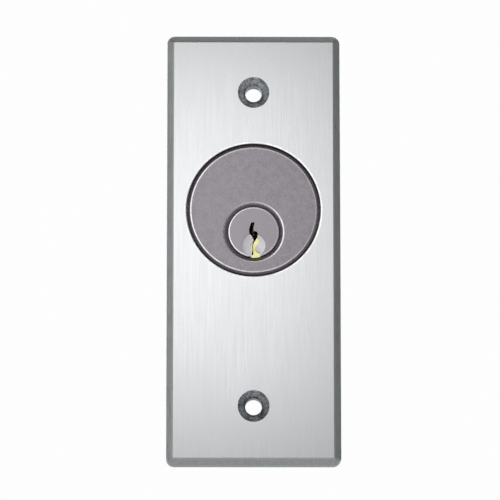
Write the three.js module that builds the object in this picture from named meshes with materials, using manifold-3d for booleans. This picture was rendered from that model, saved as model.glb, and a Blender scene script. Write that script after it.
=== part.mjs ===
// Jamb-plate key switch: a bevelled metal plate that holds a mortise key cylinder, and behind it a
// bracket with two snap-action switches, which the cylinder's cam works through a hinged paddle.
//
// Millimetres, +Z up, front towards -Y. The origin is in the middle of the plate's back face.

import * as THREE from 'three';
import { mergeVertices } from 'three/addons/utils/BufferGeometryUtils.js';
import Module from 'manifold-3d';

const wasm = await Module();
wasm.setup();

// ---------------------------------------------------------------- driving dimensions

// Face plate
const PLATE_WIDTH = 45.8;
const PLATE_HEIGHT = 114.3;
const PLATE_THICKNESS = 6.35;
const PLATE_CORNER_RADIUS = 2.1;
const BEVEL_WIDTH = 1.75;
const BEVEL_DEPTH = 1.5;
const SCREW_SPACING = 83.34;
const SCREW_HOLE_DIAMETER = 4.4;
const COUNTERSINK_DIAMETER = 8.2;

// Key cylinder
const CYLINDER_HEIGHT_ON_PLATE = 10.2;
const BODY_DIAMETER = 29.2;
const HEAD_LIP = 2.85;
const HEAD_THICKNESS = 3.2;
const HEAD_CHAMFER = 0.75;
const CYLINDER_LENGTH = 28.6;
const PLUG_OFFSET = 5.95;
const PLUG_DIAMETER = 12.7;
const PLUG_LIP = 0.35;
const PLUG_FLANGE_THICKNESS = 1.8;
const PLUG_WELL_LIP = 1.0;
const PLUG_TAIL = 0.6;
const KEY_STOP_DIAMETER = 6.3;
const KEY_STOP_DEPTH = 0.45;
const KEY_STOP_DROP = 3.5;

// Pin stacks
const PIN_PITCH = 3.96;
const FIRST_PIN_BEHIND_HEAD = 3.0;
const PIN_DIAMETER = 2.8;
const PIN_TIP_LEVELS = [1.5, 0.3, 0.9, -0.3, 0.6];
const CHAMBER_FLOOR_LEVEL = -2.6;
const DRIVER_LENGTH = 4.6;
const SPRING_WALL = 0.45;
const CHAMBER_COVER_LAP = 0.55;
const CHAMBER_COVER_END_LAP = 1.2;
const CHAMBER_COVER_SINK = 0.6;
const CHAMBER_COVER_THICKNESS = 1.5;

// Ring nut behind the plate
const RING_NUT_WALL = 2.4;
const RING_NUT_THICKNESS = 3.2;
const RING_NUT_NOTCHES = 4;

// Cam on the tail of the plug
const CAM_THICKNESS = 2.4;
const CAM_LOBE_REACH = 2.35;
const CAM_HUB_RADIUS = 6.2;
const CAM_RISE = 1.2;
const TURN_DEGREES = 60;
const CAM_SCREW_INSET = 2.55;
const CAM_SCREW_DIAMETER = 2.4;

// Snap-action switches
const SWITCH_LENGTH = 19.8;
const SWITCH_HEIGHT = 10.2;
const SWITCH_THICKNESS = 6.4;
const SWITCH_WALL = 1.2;
const SWITCH_COVER_THICKNESS = 1.0;
const SWITCH_HOLE_INSET = 5.15;
const SWITCH_HOLE_LEVEL = 2.5;
const CONTACT_INSET = 2.1;
const PLUNGER_FROM_CONTACT = 3.4;
const PLUNGER_DIAMETER = 2.2;
const PLUNGER_STANDING = 1.5;
const BLADE_THICKNESS = 0.3;
const BLADE_SIDE_ROOM = 0.5;
const TERMINAL_THICKNESS = 0.5;
const TERMINAL_LENGTH = 5.8;
const CARD_THICKNESS = 0.3;
const CARD_DROP = 3.0;
const SWITCH_SCREW_DIAMETER = 2.1;

// Paddle between the cam and the switches
const PADDLE_THICKNESS = 1.0;
const PADDLE_PAST_CAM = 2.9;
const PADDLE_PIN_DIAMETER = 2.4;
const PADDLE_LEVER = 7.4;
const PADDLE_BARREL_WALL = 0.8;

// Bracket
const BRACKET_SHEET = 1.5;
const BRACKET_BEND_RADIUS = 1.2;
const BRACKET_LEG_ROOM = 4.0;
const BRACKET_FOOT_DROP = 14.15;
const CAM_TO_WALL = 6.35;
const BRACKET_SCREW_SPACING = 14;
const BRACKET_SCREW_DIAMETER = 2.8;
const BRACKET_SCREW_LENGTH = 5.6;

// Clearances
const FIT_GAP = 0.3;
const RUNNING_GAP = 0.15;
const CONTACT_GAP = 0.1;

const ROUND_SIDES = 48;
const PLUG_SIDES = 32;
const SMALL_SIDES = 12;

// ---------------------------------------------------------------- derived places

const HEAD_DIAMETER = BODY_DIAMETER + 2 * HEAD_LIP;
const PLATE_FRONT = -PLATE_THICKNESS;
const HEAD_BACK = PLATE_FRONT + HEAD_THICKNESS;
const CYLINDER_BACK = PLATE_FRONT + CYLINDER_LENGTH;
const PLUG_BACK = CYLINDER_BACK + PLUG_TAIL;
const CYLINDER_Z = CYLINDER_HEIGHT_ON_PLATE;
const PLUG_Z = CYLINDER_Z - PLUG_OFFSET;
const PLUG_RADIUS = PLUG_DIAMETER / 2;
const PLUG_FACE_DIAMETER = PLUG_DIAMETER + 2 * PLUG_LIP;
const PLUG_WELL_DIAMETER = PLUG_FACE_DIAMETER + 2 * PLUG_WELL_LIP;
const PIN_RADIUS = PIN_DIAMETER / 2;
const CHAMBER_RADIUS = PIN_RADIUS + RUNNING_GAP;
const PIN_YS = PIN_TIP_LEVELS.map((_, i) => HEAD_BACK + FIRST_PIN_BEHIND_HEAD + i * PIN_PITCH);
const SHEAR_Z = PLUG_Z + PLUG_RADIUS;
const COVER_TOP = CYLINDER_Z + BODY_DIAMETER / 2 - CHAMBER_COVER_SINK;
const COVER_BOTTOM = COVER_TOP - CHAMBER_COVER_THICKNESS;
const COVER_WIDTH = PIN_DIAMETER + 2 * CHAMBER_COVER_LAP;
const RING_NUT_DIAMETER = BODY_DIAMETER + 2 * RING_NUT_WALL;

// The lobe reaches below the cylinder's body, so that the paddle passes under it.
const CAM_LOBE_RADIUS = BODY_DIAMETER / 2 - PLUG_OFFSET + CAM_LOBE_REACH;
const CAM_SCREW_SPACING = PLUG_DIAMETER - 2 * CAM_SCREW_INSET;
const CAM_FRONT = PLUG_BACK;
const CAM_BACK = CAM_FRONT + CAM_THICKNESS;
const PADDLE_TOP = PLUG_Z - CAM_LOBE_RADIUS - FIT_GAP;
const PADDLE_BOTTOM = PADDLE_TOP - PADDLE_THICKNESS;
const PLUNGER_TOP = PADDLE_BOTTOM - CONTACT_GAP;
const SWITCH_TOP = PLUNGER_TOP - PLUNGER_STANDING;
const SWITCH_BOTTOM = SWITCH_TOP - SWITCH_HEIGHT;
const SWITCH_HOLE_Z = SWITCH_BOTTOM + SWITCH_HOLE_LEVEL;

const CAVITY_SIDE = SWITCH_LENGTH / 2 - SWITCH_WALL;
const CONTACT_X = -CAVITY_SIDE + CONTACT_INSET;
const PLUNGER_X = CONTACT_X + PLUNGER_FROM_CONTACT;
const SWITCH_HOLE_SPACING = SWITCH_LENGTH - 2 * SWITCH_HOLE_INSET;
const CAVITY_DEPTH = SWITCH_THICKNESS - SWITCH_COVER_THICKNESS - SWITCH_WALL;
const BLADE_WIDTH = CAVITY_DEPTH - 2 * BLADE_SIDE_ROOM;
const PADDLE_PIN_X = PLUNGER_X - PADDLE_LEVER;

const BRACKET_LEG_X = -SWITCH_LENGTH / 2 - BRACKET_LEG_ROOM - BRACKET_SHEET;
const BRACKET_FOOT_BOTTOM = SWITCH_BOTTOM - BRACKET_FOOT_DROP;
const BRACKET_WALL_Y = CAM_BACK + CAM_TO_WALL;

// The stack reads, from the bracket wall forwards: card, rear switch, card, front switch.
const REAR_SWITCH_Y = BRACKET_WALL_Y - CARD_THICKNESS - SWITCH_THICKNESS;
const FRONT_SWITCH_Y = REAR_SWITCH_Y - CARD_THICKNESS - SWITCH_THICKNESS;
const BRACKET_WALL_BACK = BRACKET_WALL_Y + BRACKET_SHEET;

// ---------------------------------------------------------------- solids

/** Turns a closed geometry into a solid whose faces point outwards. */
function solid(geometry) {
  const bare = geometry.clone();
  bare.deleteAttribute('normal');
  bare.deleteAttribute('uv');
  const merged = mergeVertices(bare, 1e-4);
  const triVerts = Uint32Array.from(merged.index.array);
  const vertProperties = Float32Array.from(merged.attributes.position.array);
  const made = new wasm.Manifold(new wasm.Mesh({ numProp: 3, vertProperties, triVerts }));
  if (made.volume() > 0) return made;
  for (let i = 0; i < triVerts.length; i += 3) {
    [triVerts[i], triVerts[i + 1]] = [triVerts[i + 1], triVerts[i]];
  }
  return new wasm.Manifold(new wasm.Mesh({ numProp: 3, vertProperties, triVerts }));
}

/** Gives a solid back as a geometry with flat-shaded normals. */
function geometryOf(made) {
  const mesh = made.getMesh();
  const geometry = new THREE.BufferGeometry();
  geometry.setAttribute('position', new THREE.BufferAttribute(mesh.vertProperties, 3));
  geometry.setIndex(new THREE.BufferAttribute(mesh.triVerts, 1));
  geometry.computeVertexNormals();
  return geometry;
}

const join = (first, ...others) => others.reduce((sum, other) => sum.add(other), first);
const cut = (body, ...tools) => tools.reduce((rest, tool) => rest.subtract(tool), body);

/** A block between two corners. */
function block(x0, x1, y0, y1, z0, z1) {
  const geometry = new THREE.BoxGeometry(x1 - x0, y1 - y0, z1 - z0);
  geometry.translate((x0 + x1) / 2, (y0 + y1) / 2, (z0 + z1) / 2);
  return solid(geometry);
}

/** A round rod along Y. */
function rodY(x, z, radius, y0, y1, sides = SMALL_SIDES) {
  const geometry = new THREE.CylinderGeometry(radius, radius, y1 - y0, sides);
  geometry.translate(x, (y0 + y1) / 2, z);
  return solid(geometry);
}

/** A round rod along Z. */
function rodZ(x, y, radius, z0, z1, sides = SMALL_SIDES) {
  const geometry = new THREE.CylinderGeometry(radius, radius, z1 - z0, sides);
  geometry.rotateX(Math.PI / 2);
  geometry.translate(x, y, (z0 + z1) / 2);
  return solid(geometry);
}

/** A turned piece about an axis along Y. The profile is [radius, y] pairs from axis to axis. */
function turnedY(x, z, profile, sides = SMALL_SIDES) {
  const points = profile.map(([radius, y]) => new THREE.Vector2(radius, y));
  const geometry = new THREE.LatheGeometry(points, sides);
  geometry.translate(x, 0, z);
  return solid(geometry);
}

/** A turned piece about an axis along Z. The profile is [radius, z] pairs from axis to axis. */
function turnedZ(x, y, profile, sides = SMALL_SIDES) {
  const points = profile.map(([radius, z]) => new THREE.Vector2(radius, z));
  const geometry = new THREE.LatheGeometry(points, sides);
  geometry.rotateX(Math.PI / 2);
  geometry.translate(x, y, 0);
  return solid(geometry);
}

/** A flat piece with an outline in X and Z, between two depths. */
function slabY(shape, y0, y1, curveSegments = 12) {
  const geometry = new THREE.ExtrudeGeometry(shape, {
    depth: y1 - y0,
    bevelEnabled: false,
    curveSegments,
  });
  geometry.rotateX(Math.PI / 2);
  geometry.translate(0, y1, 0);
  return solid(geometry);
}

/** A flat piece with an outline in X and Y, between two heights. */
function slabZ(shape, z0, z1, curveSegments = 8) {
  const geometry = new THREE.ExtrudeGeometry(shape, {
    depth: z1 - z0,
    bevelEnabled: false,
    curveSegments,
  });
  geometry.translate(0, 0, z0);
  return solid(geometry);
}

const outline = (points) => new THREE.Shape(points.map(([a, b]) => new THREE.Vector2(a, b)));

/** A rectangle with round corners, centred on the origin. */
function roundRectangle(width, height, radius) {
  const right = width / 2;
  const top = height / 2;
  const shape = new THREE.Shape();
  shape.absarc(right - radius, top - radius, radius, 0, Math.PI / 2, false);
  shape.absarc(radius - right, top - radius, radius, Math.PI / 2, Math.PI, false);
  shape.absarc(radius - right, radius - top, radius, Math.PI, 1.5 * Math.PI, false);
  shape.absarc(right - radius, radius - top, radius, 1.5 * Math.PI, 2 * Math.PI, false);
  return shape;
}

// ---------------------------------------------------------------- materials

const finish = (color, roughness, metalness) => (
  new THREE.MeshStandardMaterial({ color, roughness, metalness })
);
const satinMetal = () => finish(0xc6c5cc, 0.38, 1);
const dullNickel = () => finish(0x98949a, 0.6, 0.9);
const brass = () => finish(0xc9a95a, 0.4, 1);
const springSteel = () => finish(0xa8aaad, 0.35, 1);
const zincSteel = () => finish(0xb9bcc0, 0.45, 1);
const blackPhenolic = () => finish(0x1c1b1a, 0.6, 0);
const redPlastic = () => finish(0xa32a22, 0.5, 0);
const silver = () => finish(0xd6d6d2, 0.3, 1);
const fishPaper = () => finish(0x8d8f86, 0.85, 0);

const assembly = new THREE.Group();

function addPiece(name, made, material) {
  const mesh = new THREE.Mesh(geometryOf(made), material);
  mesh.name = name;
  assembly.add(mesh);
}

// ---------------------------------------------------------------- face plate

/** The plate's outline with a straight bevel round the front edge only. */
function bevelledBlank() {
  const shape = roundRectangle(PLATE_WIDTH, PLATE_HEIGHT, PLATE_CORNER_RADIUS);
  const geometry = new THREE.ExtrudeGeometry(shape, {
    depth: PLATE_THICKNESS,
    bevelEnabled: true,
    bevelSegments: 1,
    bevelThickness: BEVEL_DEPTH,
    bevelSize: BEVEL_WIDTH,
    bevelOffset: -BEVEL_WIDTH,
    curveSegments: 5,
  });
  geometry.rotateX(Math.PI / 2);
  geometry.translate(0, BEVEL_DEPTH, 0);
  const bevelBack = PLATE_WIDTH + PLATE_HEIGHT;
  return cut(solid(geometry), block(-bevelBack, bevelBack, 0, bevelBack, -bevelBack, bevelBack));
}

function countersunkHole(z) {
  const hole = SCREW_HOLE_DIAMETER / 2;
  const sink = COUNTERSINK_DIAMETER / 2;
  return turnedY(0, z, [
    [0, PLATE_FRONT - 1],
    [sink + 1, PLATE_FRONT - 1],
    [hole, PLATE_FRONT + sink - hole],
    [hole, 1],
    [0, 1],
  ], PLUG_SIDES);
}

function bracketScrewPlaces() {
  const z = BRACKET_FOOT_BOTTOM + 4;
  const middle = BRACKET_LEG_X + BRACKET_SHEET + 5 + BRACKET_SCREW_SPACING / 2;
  return [-1, 1].map((side) => [middle + (side * BRACKET_SCREW_SPACING) / 2, z]);
}

function faceplate() {
  const wellRadius = HEAD_DIAMETER / 2 + FIT_GAP + 0.05;
  const edgeBreak = 0.45;
  const wellFloor = HEAD_BACK + FIT_GAP;
  const bore = BODY_DIAMETER / 2 + FIT_GAP;
  const well = turnedY(0, CYLINDER_Z, [
    [0, PLATE_FRONT - 1],
    [wellRadius + edgeBreak + 1, PLATE_FRONT - 1],
    [wellRadius, PLATE_FRONT + edgeBreak],
    [wellRadius, wellFloor],
    [bore, wellFloor],
    [bore, 1],
    [0, 1],
  ], ROUND_SIDES);
  const screwDepth = BRACKET_SCREW_LENGTH - BRACKET_SHEET + FIT_GAP;
  const tapped = bracketScrewPlaces().map(([x, z]) => (
    rodY(x, z, BRACKET_SCREW_DIAMETER / 2 + RUNNING_GAP, -screwDepth, 1)
  ));
  return cut(
    bevelledBlank(),
    well,
    countersunkHole(SCREW_SPACING / 2),
    countersunkHole(-SCREW_SPACING / 2),
    ...tapped,
  );
}

// ---------------------------------------------------------------- key cylinder

const chamberCoverEnds = () => {
  const lap = PIN_RADIUS + CHAMBER_COVER_END_LAP;
  return [PIN_YS[0] - lap, PIN_YS.at(-1) + lap];
};

function cylinderShell() {
  const head = HEAD_DIAMETER / 2;
  const body = BODY_DIAMETER / 2;
  const outside = turnedY(0, CYLINDER_Z, [
    [0, PLATE_FRONT],
    [head - HEAD_CHAMFER, PLATE_FRONT],
    [head, PLATE_FRONT + HEAD_CHAMFER],
    [head, HEAD_BACK],
    [body, HEAD_BACK],
    [body, CYLINDER_BACK - 0.8],
    [body - 0.8, CYLINDER_BACK],
    [0, CYLINDER_BACK],
  ], ROUND_SIDES);
  const plugBore = PLUG_RADIUS + RUNNING_GAP;
  const flangeBore = PLUG_FACE_DIAMETER / 2 + RUNNING_GAP;
  const wellFloor = PLATE_FRONT + PLUG_FLANGE_THICKNESS + FIT_GAP;
  const wellChamfer = PLUG_WELL_DIAMETER / 2 - flangeBore;
  const plugHole = turnedY(0, PLUG_Z, [
    [0, PLATE_FRONT - 1],
    [flangeBore + wellChamfer + 1, PLATE_FRONT - 1],
    [flangeBore, PLATE_FRONT + wellChamfer],
    [flangeBore, wellFloor],
    [plugBore, wellFloor],
    [plugBore, CYLINDER_BACK + 1],
    [0, CYLINDER_BACK + 1],
  ], PLUG_SIDES);
  const chambers = PIN_YS.map((y) => rodZ(0, y, CHAMBER_RADIUS, PLUG_Z, COVER_BOTTOM + 0.1));
  const [slotFront, slotBack] = chamberCoverEnds();
  const halfSlot = COVER_WIDTH / 2 + RUNNING_GAP;
  const slot = block(
    -halfSlot,
    halfSlot,
    slotFront - RUNNING_GAP,
    slotBack + RUNNING_GAP,
    COVER_BOTTOM,
    CYLINDER_Z + BODY_DIAMETER,
  );
  return cut(outside, plugHole, ...chambers, slot);
}

/** The keyway's outline about the plug's axis: a crooked slot that runs out of the plug's lower edge. */
function keywayShape() {
  return outline([
    [0.25, 2.6],
    [0.15, 1.7],
    [-0.05, 1.2],
    [-0.05, 0.35],
    [0.95, 0.05],
    [1.12, -0.5],
    [1.02, -1.2],
    [1.37, -1.9],
    [1.37, -2.85],
    [0.4, -3.9],
    [0.4, -4.6],
    [0.95, -5.15],
    [1.75, -5.4],
    [1.75, -PLUG_FACE_DIAMETER],
    [-0.65, -PLUG_FACE_DIAMETER],
    [-0.65, -4.9],
    [-0.8, -3.5],
    [-0.05, -2.2],
    [-0.4, -1.15],
    [-1.1, -0.4],
    [-1.2, 0.75],
    [-0.65, 2.5],
  ]);
}

function plug() {
  const face = PLUG_FACE_DIAMETER / 2;
  const outside = turnedY(0, PLUG_Z, [
    [0, PLATE_FRONT],
    [face - 0.2, PLATE_FRONT],
    [face, PLATE_FRONT + 0.2],
    [face, PLATE_FRONT + PLUG_FLANGE_THICKNESS],
    [PLUG_RADIUS, PLATE_FRONT + PLUG_FLANGE_THICKNESS],
    [PLUG_RADIUS, PLUG_BACK],
    [0, PLUG_BACK],
  ], PLUG_SIDES);
  const keyway = slabY(keywayShape(), PLATE_FRONT - 1, PLUG_BACK + 1).translate([0, 0, PLUG_Z]);
  const keyStop = rodY(
    0,
    PLUG_Z - KEY_STOP_DROP,
    KEY_STOP_DIAMETER / 2,
    PLATE_FRONT - 1,
    PLATE_FRONT + KEY_STOP_DEPTH,
    PLUG_SIDES,
  );
  const chambers = PIN_YS.map((y) => (
    rodZ(0, y, CHAMBER_RADIUS, PLUG_Z + CHAMBER_FLOOR_LEVEL, SHEAR_Z + 1)
  ));
  const tapped = camScrewXs().map((x) => (
    rodY(x, PLUG_Z, CAM_SCREW_DIAMETER / 2 + RUNNING_GAP, PLUG_BACK - 5.2, PLUG_BACK + 1)
  ));
  return cut(outside, keyway, keyStop, ...chambers, ...tapped);
}

/** Bottom pin: a cone tip below, a flat top just under the shear line. */
function bottomPin(y, tipLevel) {
  const tip = PLUG_Z + tipLevel;
  return turnedZ(0, y, [
    [0, tip],
    [0.5, tip],
    [PIN_RADIUS, tip + 1.0],
    [PIN_RADIUS, SHEAR_Z - FIT_GAP],
    [0, SHEAR_Z - FIT_GAP],
  ]);
}

const driverBottom = () => SHEAR_Z + FIT_GAP;
const driverTop = () => driverBottom() + DRIVER_LENGTH;

function driverPin(y) {
  const crown = 0.3;
  return turnedZ(0, y, [
    [0, driverBottom()],
    [PIN_RADIUS - crown, driverBottom()],
    [PIN_RADIUS, driverBottom() + crown],
    [PIN_RADIUS, driverTop() - crown],
    [PIN_RADIUS - crown, driverTop()],
    [0, driverTop()],
  ]);
}

/** The outer shape of a chamber spring: a thin-walled tube between driver pin and cover. */
function pinSpring(y) {
  const outer = PIN_RADIUS - 0.1;
  const tube = rodZ(0, y, outer, driverTop(), COVER_BOTTOM);
  return cut(tube, rodZ(0, y, outer - SPRING_WALL, driverTop() - 1, COVER_BOTTOM + 1));
}

function chamberCover() {
  const [front, back] = chamberCoverEnds();
  const half = COVER_WIDTH / 2;
  return block(-half, half, front, back, COVER_BOTTOM, COVER_TOP);
}

function ringNut() {
  const outer = RING_NUT_DIAMETER / 2;
  const ring = cut(
    rodY(0, CYLINDER_Z, outer, 0, RING_NUT_THICKNESS, ROUND_SIDES),
    rodY(0, CYLINDER_Z, BODY_DIAMETER / 2 + RUNNING_GAP, -1, RING_NUT_THICKNESS + 1, ROUND_SIDES),
  );
  const notchWidth = 3;
  const notchDepth = 1.1;
  const notches = Array.from({ length: RING_NUT_NOTCHES }, (_, i) => (
    block(-notchWidth / 2, notchWidth / 2, 1.2, RING_NUT_THICKNESS + 1, outer - notchDepth, outer + 1)
      .rotate([0, 45 + (360 / RING_NUT_NOTCHES) * i, 0])
      .translate([0, 0, CYLINDER_Z])
  ));
  return cut(ring, ...notches);
}

// ---------------------------------------------------------------- cam

const camScrewXs = () => [-CAM_SCREW_SPACING / 2, CAM_SCREW_SPACING / 2];

/**
 * The cam's outline: a round hub with one lobe pointing down. Across the lobe the radius grows evenly
 * with the angle, so that the paddle goes down in step as the plug turns clockwise.
 */
function camShape() {
  const steps = 18;
  const lead = THREE.MathUtils.degToRad(12);
  const sweep = THREE.MathUtils.degToRad(TURN_DEGREES + 14);
  const risePerRadian = CAM_RISE / THREE.MathUtils.degToRad(TURN_DEGREES);
  const points = [];
  for (let i = 0; i <= steps; i += 1) {
    const behind = -lead + ((lead + sweep) * i) / steps;
    const radius = CAM_LOBE_RADIUS + risePerRadian * behind;
    points.push([radius * Math.sin(behind), -radius * Math.cos(behind)]);
  }
  const hubSteps = 14;
  const hubStart = sweep + THREE.MathUtils.degToRad(40);
  const hubEnd = 2 * Math.PI - lead - THREE.MathUtils.degToRad(40);
  for (let i = 0; i <= hubSteps; i += 1) {
    const angle = hubStart + ((hubEnd - hubStart) * i) / hubSteps;
    points.push([CAM_HUB_RADIUS * Math.sin(angle), -CAM_HUB_RADIUS * Math.cos(angle)]);
  }
  return outline(points);
}

function cam() {
  const blank = slabY(camShape(), CAM_FRONT, CAM_BACK).translate([0, 0, PLUG_Z]);
  const holes = camScrewXs().map((x) => (
    rodY(x, PLUG_Z, CAM_SCREW_DIAMETER / 2 + RUNNING_GAP, CAM_FRONT - 1, CAM_BACK + 1)
  ));
  return cut(blank, ...holes);
}

/** A slotted screw along Y whose head is at the back: a thread, then a pan head with a cross slot. */
function backScrew(x, z, diameter, tipY, seatY, headDiameter, headHeight) {
  const body = turnedY(x, z, [
    [0, tipY],
    [diameter / 2 - 0.3, tipY],
    [diameter / 2, tipY + 0.3],
    [diameter / 2, seatY],
    [headDiameter / 2, seatY],
    [headDiameter / 2, seatY + headHeight * 0.6],
    [headDiameter / 2 - headHeight * 0.4, seatY + headHeight],
    [0, seatY + headHeight],
  ]);
  const slotHalf = 0.35;
  const reach = headDiameter;
  const slot = block(
    x - reach,
    x + reach,
    seatY + headHeight * 0.45,
    seatY + headHeight + 1,
    z - slotHalf,
    z + slotHalf,
  );
  return cut(body, slot);
}

// ---------------------------------------------------------------- snap-action switches

const switchHoleXs = () => [-SWITCH_HOLE_SPACING / 2, SWITCH_HOLE_SPACING / 2];
const bladeY = (front) => front + SWITCH_COVER_THICKNESS + CAVITY_DEPTH / 2;
const switchHoleRods = (y0, y1) => switchHoleXs().map((x) => (
  rodY(x, SWITCH_HOLE_Z, SWITCH_SCREW_DIAMETER / 2 + RUNNING_GAP, y0 - 1, y1 + 1)
));

const CAVITY_TOP = SWITCH_TOP - SWITCH_WALL;
const CAVITY_BOTTOM = SWITCH_BOTTOM + SWITCH_WALL;
const FOOT_THICKNESS = 1.3;
const FOOT_BOTTOM = CAVITY_TOP - FIT_GAP - FOOT_THICKNESS;
const BLADE_TOP = FOOT_BOTTOM - CONTACT_GAP;
const BLADE_BOTTOM = BLADE_TOP - BLADE_THICKNESS;
const CONTACT_RADIUS = 0.8;
const CONTACT_HEIGHT = 0.35;
const CONTACT_TRAVEL = 1.1;
const BUTTON_TOP = BLADE_TOP + CONTACT_HEIGHT;
const BUTTON_BOTTOM = BLADE_BOTTOM - CONTACT_HEIGHT;
const COMMON_X = CAVITY_SIDE - FIT_GAP - TERMINAL_THICKNESS;
const CLOSED_X = -CAVITY_SIDE + FIT_GAP;
const TERMINAL_END = SWITCH_BOTTOM - TERMINAL_LENGTH;

/** The three terminals of a switch: each one's name and the left side of its upright strip. */
const terminalPlaces = () => [
  ['common_terminal', COMMON_X],
  ['open_terminal', -TERMINAL_THICKNESS / 2],
  ['closed_terminal', CLOSED_X],
];

function switchCase(front) {
  const y0 = front + SWITCH_COVER_THICKNESS;
  const y1 = front + SWITCH_THICKNESS;
  const half = SWITCH_LENGTH / 2;
  const pillars = switchHoleXs().map((x) => rodY(x, SWITCH_HOLE_Z, 2.0, y0 - 2, y1 + 1));
  const cavity = cut(
    block(-CAVITY_SIDE, CAVITY_SIDE, y0 - 1, y1 - SWITCH_WALL, CAVITY_BOTTOM, CAVITY_TOP),
    ...pillars,
  );
  const middle = bladeY(front);
  const stripHalf = BLADE_WIDTH / 2 + RUNNING_GAP;
  const slots = terminalPlaces().map(([, x]) => block(
    x - RUNNING_GAP,
    x + TERMINAL_THICKNESS + RUNNING_GAP,
    middle - stripHalf,
    middle + stripHalf,
    SWITCH_BOTTOM - 1,
    CAVITY_BOTTOM + 0.5,
  ));
  return cut(
    block(-half, half, y0, y1, SWITCH_BOTTOM, SWITCH_TOP),
    cavity,
    rodZ(PLUNGER_X, middle, PLUNGER_DIAMETER / 2 + RUNNING_GAP, CAVITY_TOP - 0.5, SWITCH_TOP + 1),
    ...slots,
    ...switchHoleRods(y0, y1),
  );
}

function switchCover(front) {
  const half = SWITCH_LENGTH / 2;
  const y1 = front + SWITCH_COVER_THICKNESS;
  return cut(block(-half, half, front, y1, SWITCH_BOTTOM, SWITCH_TOP), ...switchHoleRods(front, y1));
}

function switchPlunger(front) {
  const radius = PLUNGER_DIAMETER / 2;
  return turnedZ(PLUNGER_X, bladeY(front), [
    [0, FOOT_BOTTOM],
    [radius + 0.4, FOOT_BOTTOM],
    [radius + 0.4, FOOT_BOTTOM + FOOT_THICKNESS],
    [radius, FOOT_BOTTOM + FOOT_THICKNESS],
    [radius, PLUNGER_TOP - 0.35],
    [radius - 0.35, PLUNGER_TOP],
    [0, PLUNGER_TOP],
  ]);
}

/** The moving contact blade, with its contact button at the free end. */
function contactBlade(front) {
  const middle = bladeY(front);
  const strip = block(
    CONTACT_X - CONTACT_RADIUS - 0.2,
    COMMON_X - FIT_GAP,
    middle - BLADE_WIDTH / 2,
    middle + BLADE_WIDTH / 2,
    BLADE_BOTTOM,
    BLADE_TOP,
  );
  return join(strip, rodZ(CONTACT_X, middle, CONTACT_RADIUS, BUTTON_BOTTOM, BUTTON_TOP));
}

function terminalStrip(front, x, top) {
  const middle = bladeY(front);
  const half = BLADE_WIDTH / 2;
  const strip = block(x, x + TERMINAL_THICKNESS, middle - half, middle + half, TERMINAL_END, top);
  const eye = new THREE.CylinderGeometry(0.8, 0.8, 4, 16);
  eye.rotateZ(Math.PI / 2);
  eye.translate(x, middle, TERMINAL_END + 1.9);
  return cut(strip, solid(eye));
}

/** A fixed contact: the terminal's upright with an arm that reaches the blade's button. */
function armedTerminal(front, x, armBottom, buttonZ0, buttonZ1) {
  const middle = bladeY(front);
  const half = BLADE_WIDTH / 2;
  const armTop = armBottom + TERMINAL_THICKNESS;
  const left = Math.min(x, CONTACT_X - CONTACT_RADIUS - 0.2);
  const right = Math.max(x + TERMINAL_THICKNESS, CONTACT_X + CONTACT_RADIUS + 0.2);
  return join(
    terminalStrip(front, x, armTop),
    block(left, right, middle - half, middle + half, armBottom, armTop),
    rodZ(CONTACT_X, middle, CONTACT_RADIUS, buttonZ0, buttonZ1),
  );
}

function closedTerminal(front) {
  const buttonBottom = BUTTON_TOP + CONTACT_GAP;
  const armBottom = buttonBottom + CONTACT_HEIGHT;
  return armedTerminal(front, CLOSED_X, armBottom, buttonBottom, armBottom + 0.1);
}

function openTerminal(front) {
  const buttonTop = BUTTON_BOTTOM - CONTACT_TRAVEL - CONTACT_GAP;
  const armBottom = buttonTop - CONTACT_HEIGHT - TERMINAL_THICKNESS;
  return armedTerminal(front, -TERMINAL_THICKNESS / 2, armBottom, armBottom + 0.1, buttonTop);
}

function addSwitch(name, front) {
  addPiece(`${name}_case`, switchCase(front), blackPhenolic());
  addPiece(`${name}_cover`, switchCover(front), blackPhenolic());
  addPiece(`${name}_plunger`, switchPlunger(front), redPlastic());
  addPiece(`${name}_contact_blade`, contactBlade(front), brass());
  addPiece(`${name}_common_terminal`, terminalStrip(front, COMMON_X, BLADE_TOP + 0.6), silver());
  addPiece(`${name}_open_terminal`, openTerminal(front), silver());
  addPiece(`${name}_closed_terminal`, closedTerminal(front), silver());
}

/** A thin insulating card behind a switch; it hangs lower than the switch to shield the terminals. */
function insulationCard(y0) {
  const half = SWITCH_LENGTH / 2;
  const y1 = y0 + CARD_THICKNESS;
  return cut(
    block(-half, half, y0, y1, SWITCH_BOTTOM - CARD_DROP, SWITCH_TOP),
    ...switchHoleRods(y0, y1),
  );
}

/** The long screw through both switches; its head bears on the front switch's cover. */
function switchScrew(x) {
  const radius = SWITCH_SCREW_DIAMETER / 2;
  const headRadius = 1.9;
  const headHeight = 1.3;
  const seat = FRONT_SWITCH_Y;
  const end = BRACKET_WALL_BACK + 3.4;
  const body = turnedY(x, SWITCH_HOLE_Z, [
    [0, seat - headHeight],
    [headRadius - 0.5, seat - headHeight],
    [headRadius, seat - headHeight + 0.5],
    [headRadius, seat],
    [radius, seat],
    [radius, end - 0.3],
    [radius - 0.3, end],
    [0, end],
  ]);
  const slot = block(
    x - 3,
    x + 3,
    seat - headHeight - 1,
    seat - headHeight * 0.45,
    SWITCH_HOLE_Z - 0.3,
    SWITCH_HOLE_Z + 0.3,
  );
  return cut(body, slot);
}

function switchNut(x) {
  const across = 4.8;
  return cut(
    rodY(x, SWITCH_HOLE_Z, across / Math.sqrt(3), BRACKET_WALL_BACK, BRACKET_WALL_BACK + 1.8, 6),
    rodY(x, SWITCH_HOLE_Z, SWITCH_SCREW_DIAMETER / 2 + RUNNING_GAP, 0, BRACKET_WALL_BACK + 3),
  );
}

// ---------------------------------------------------------------- paddle and its pin

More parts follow.
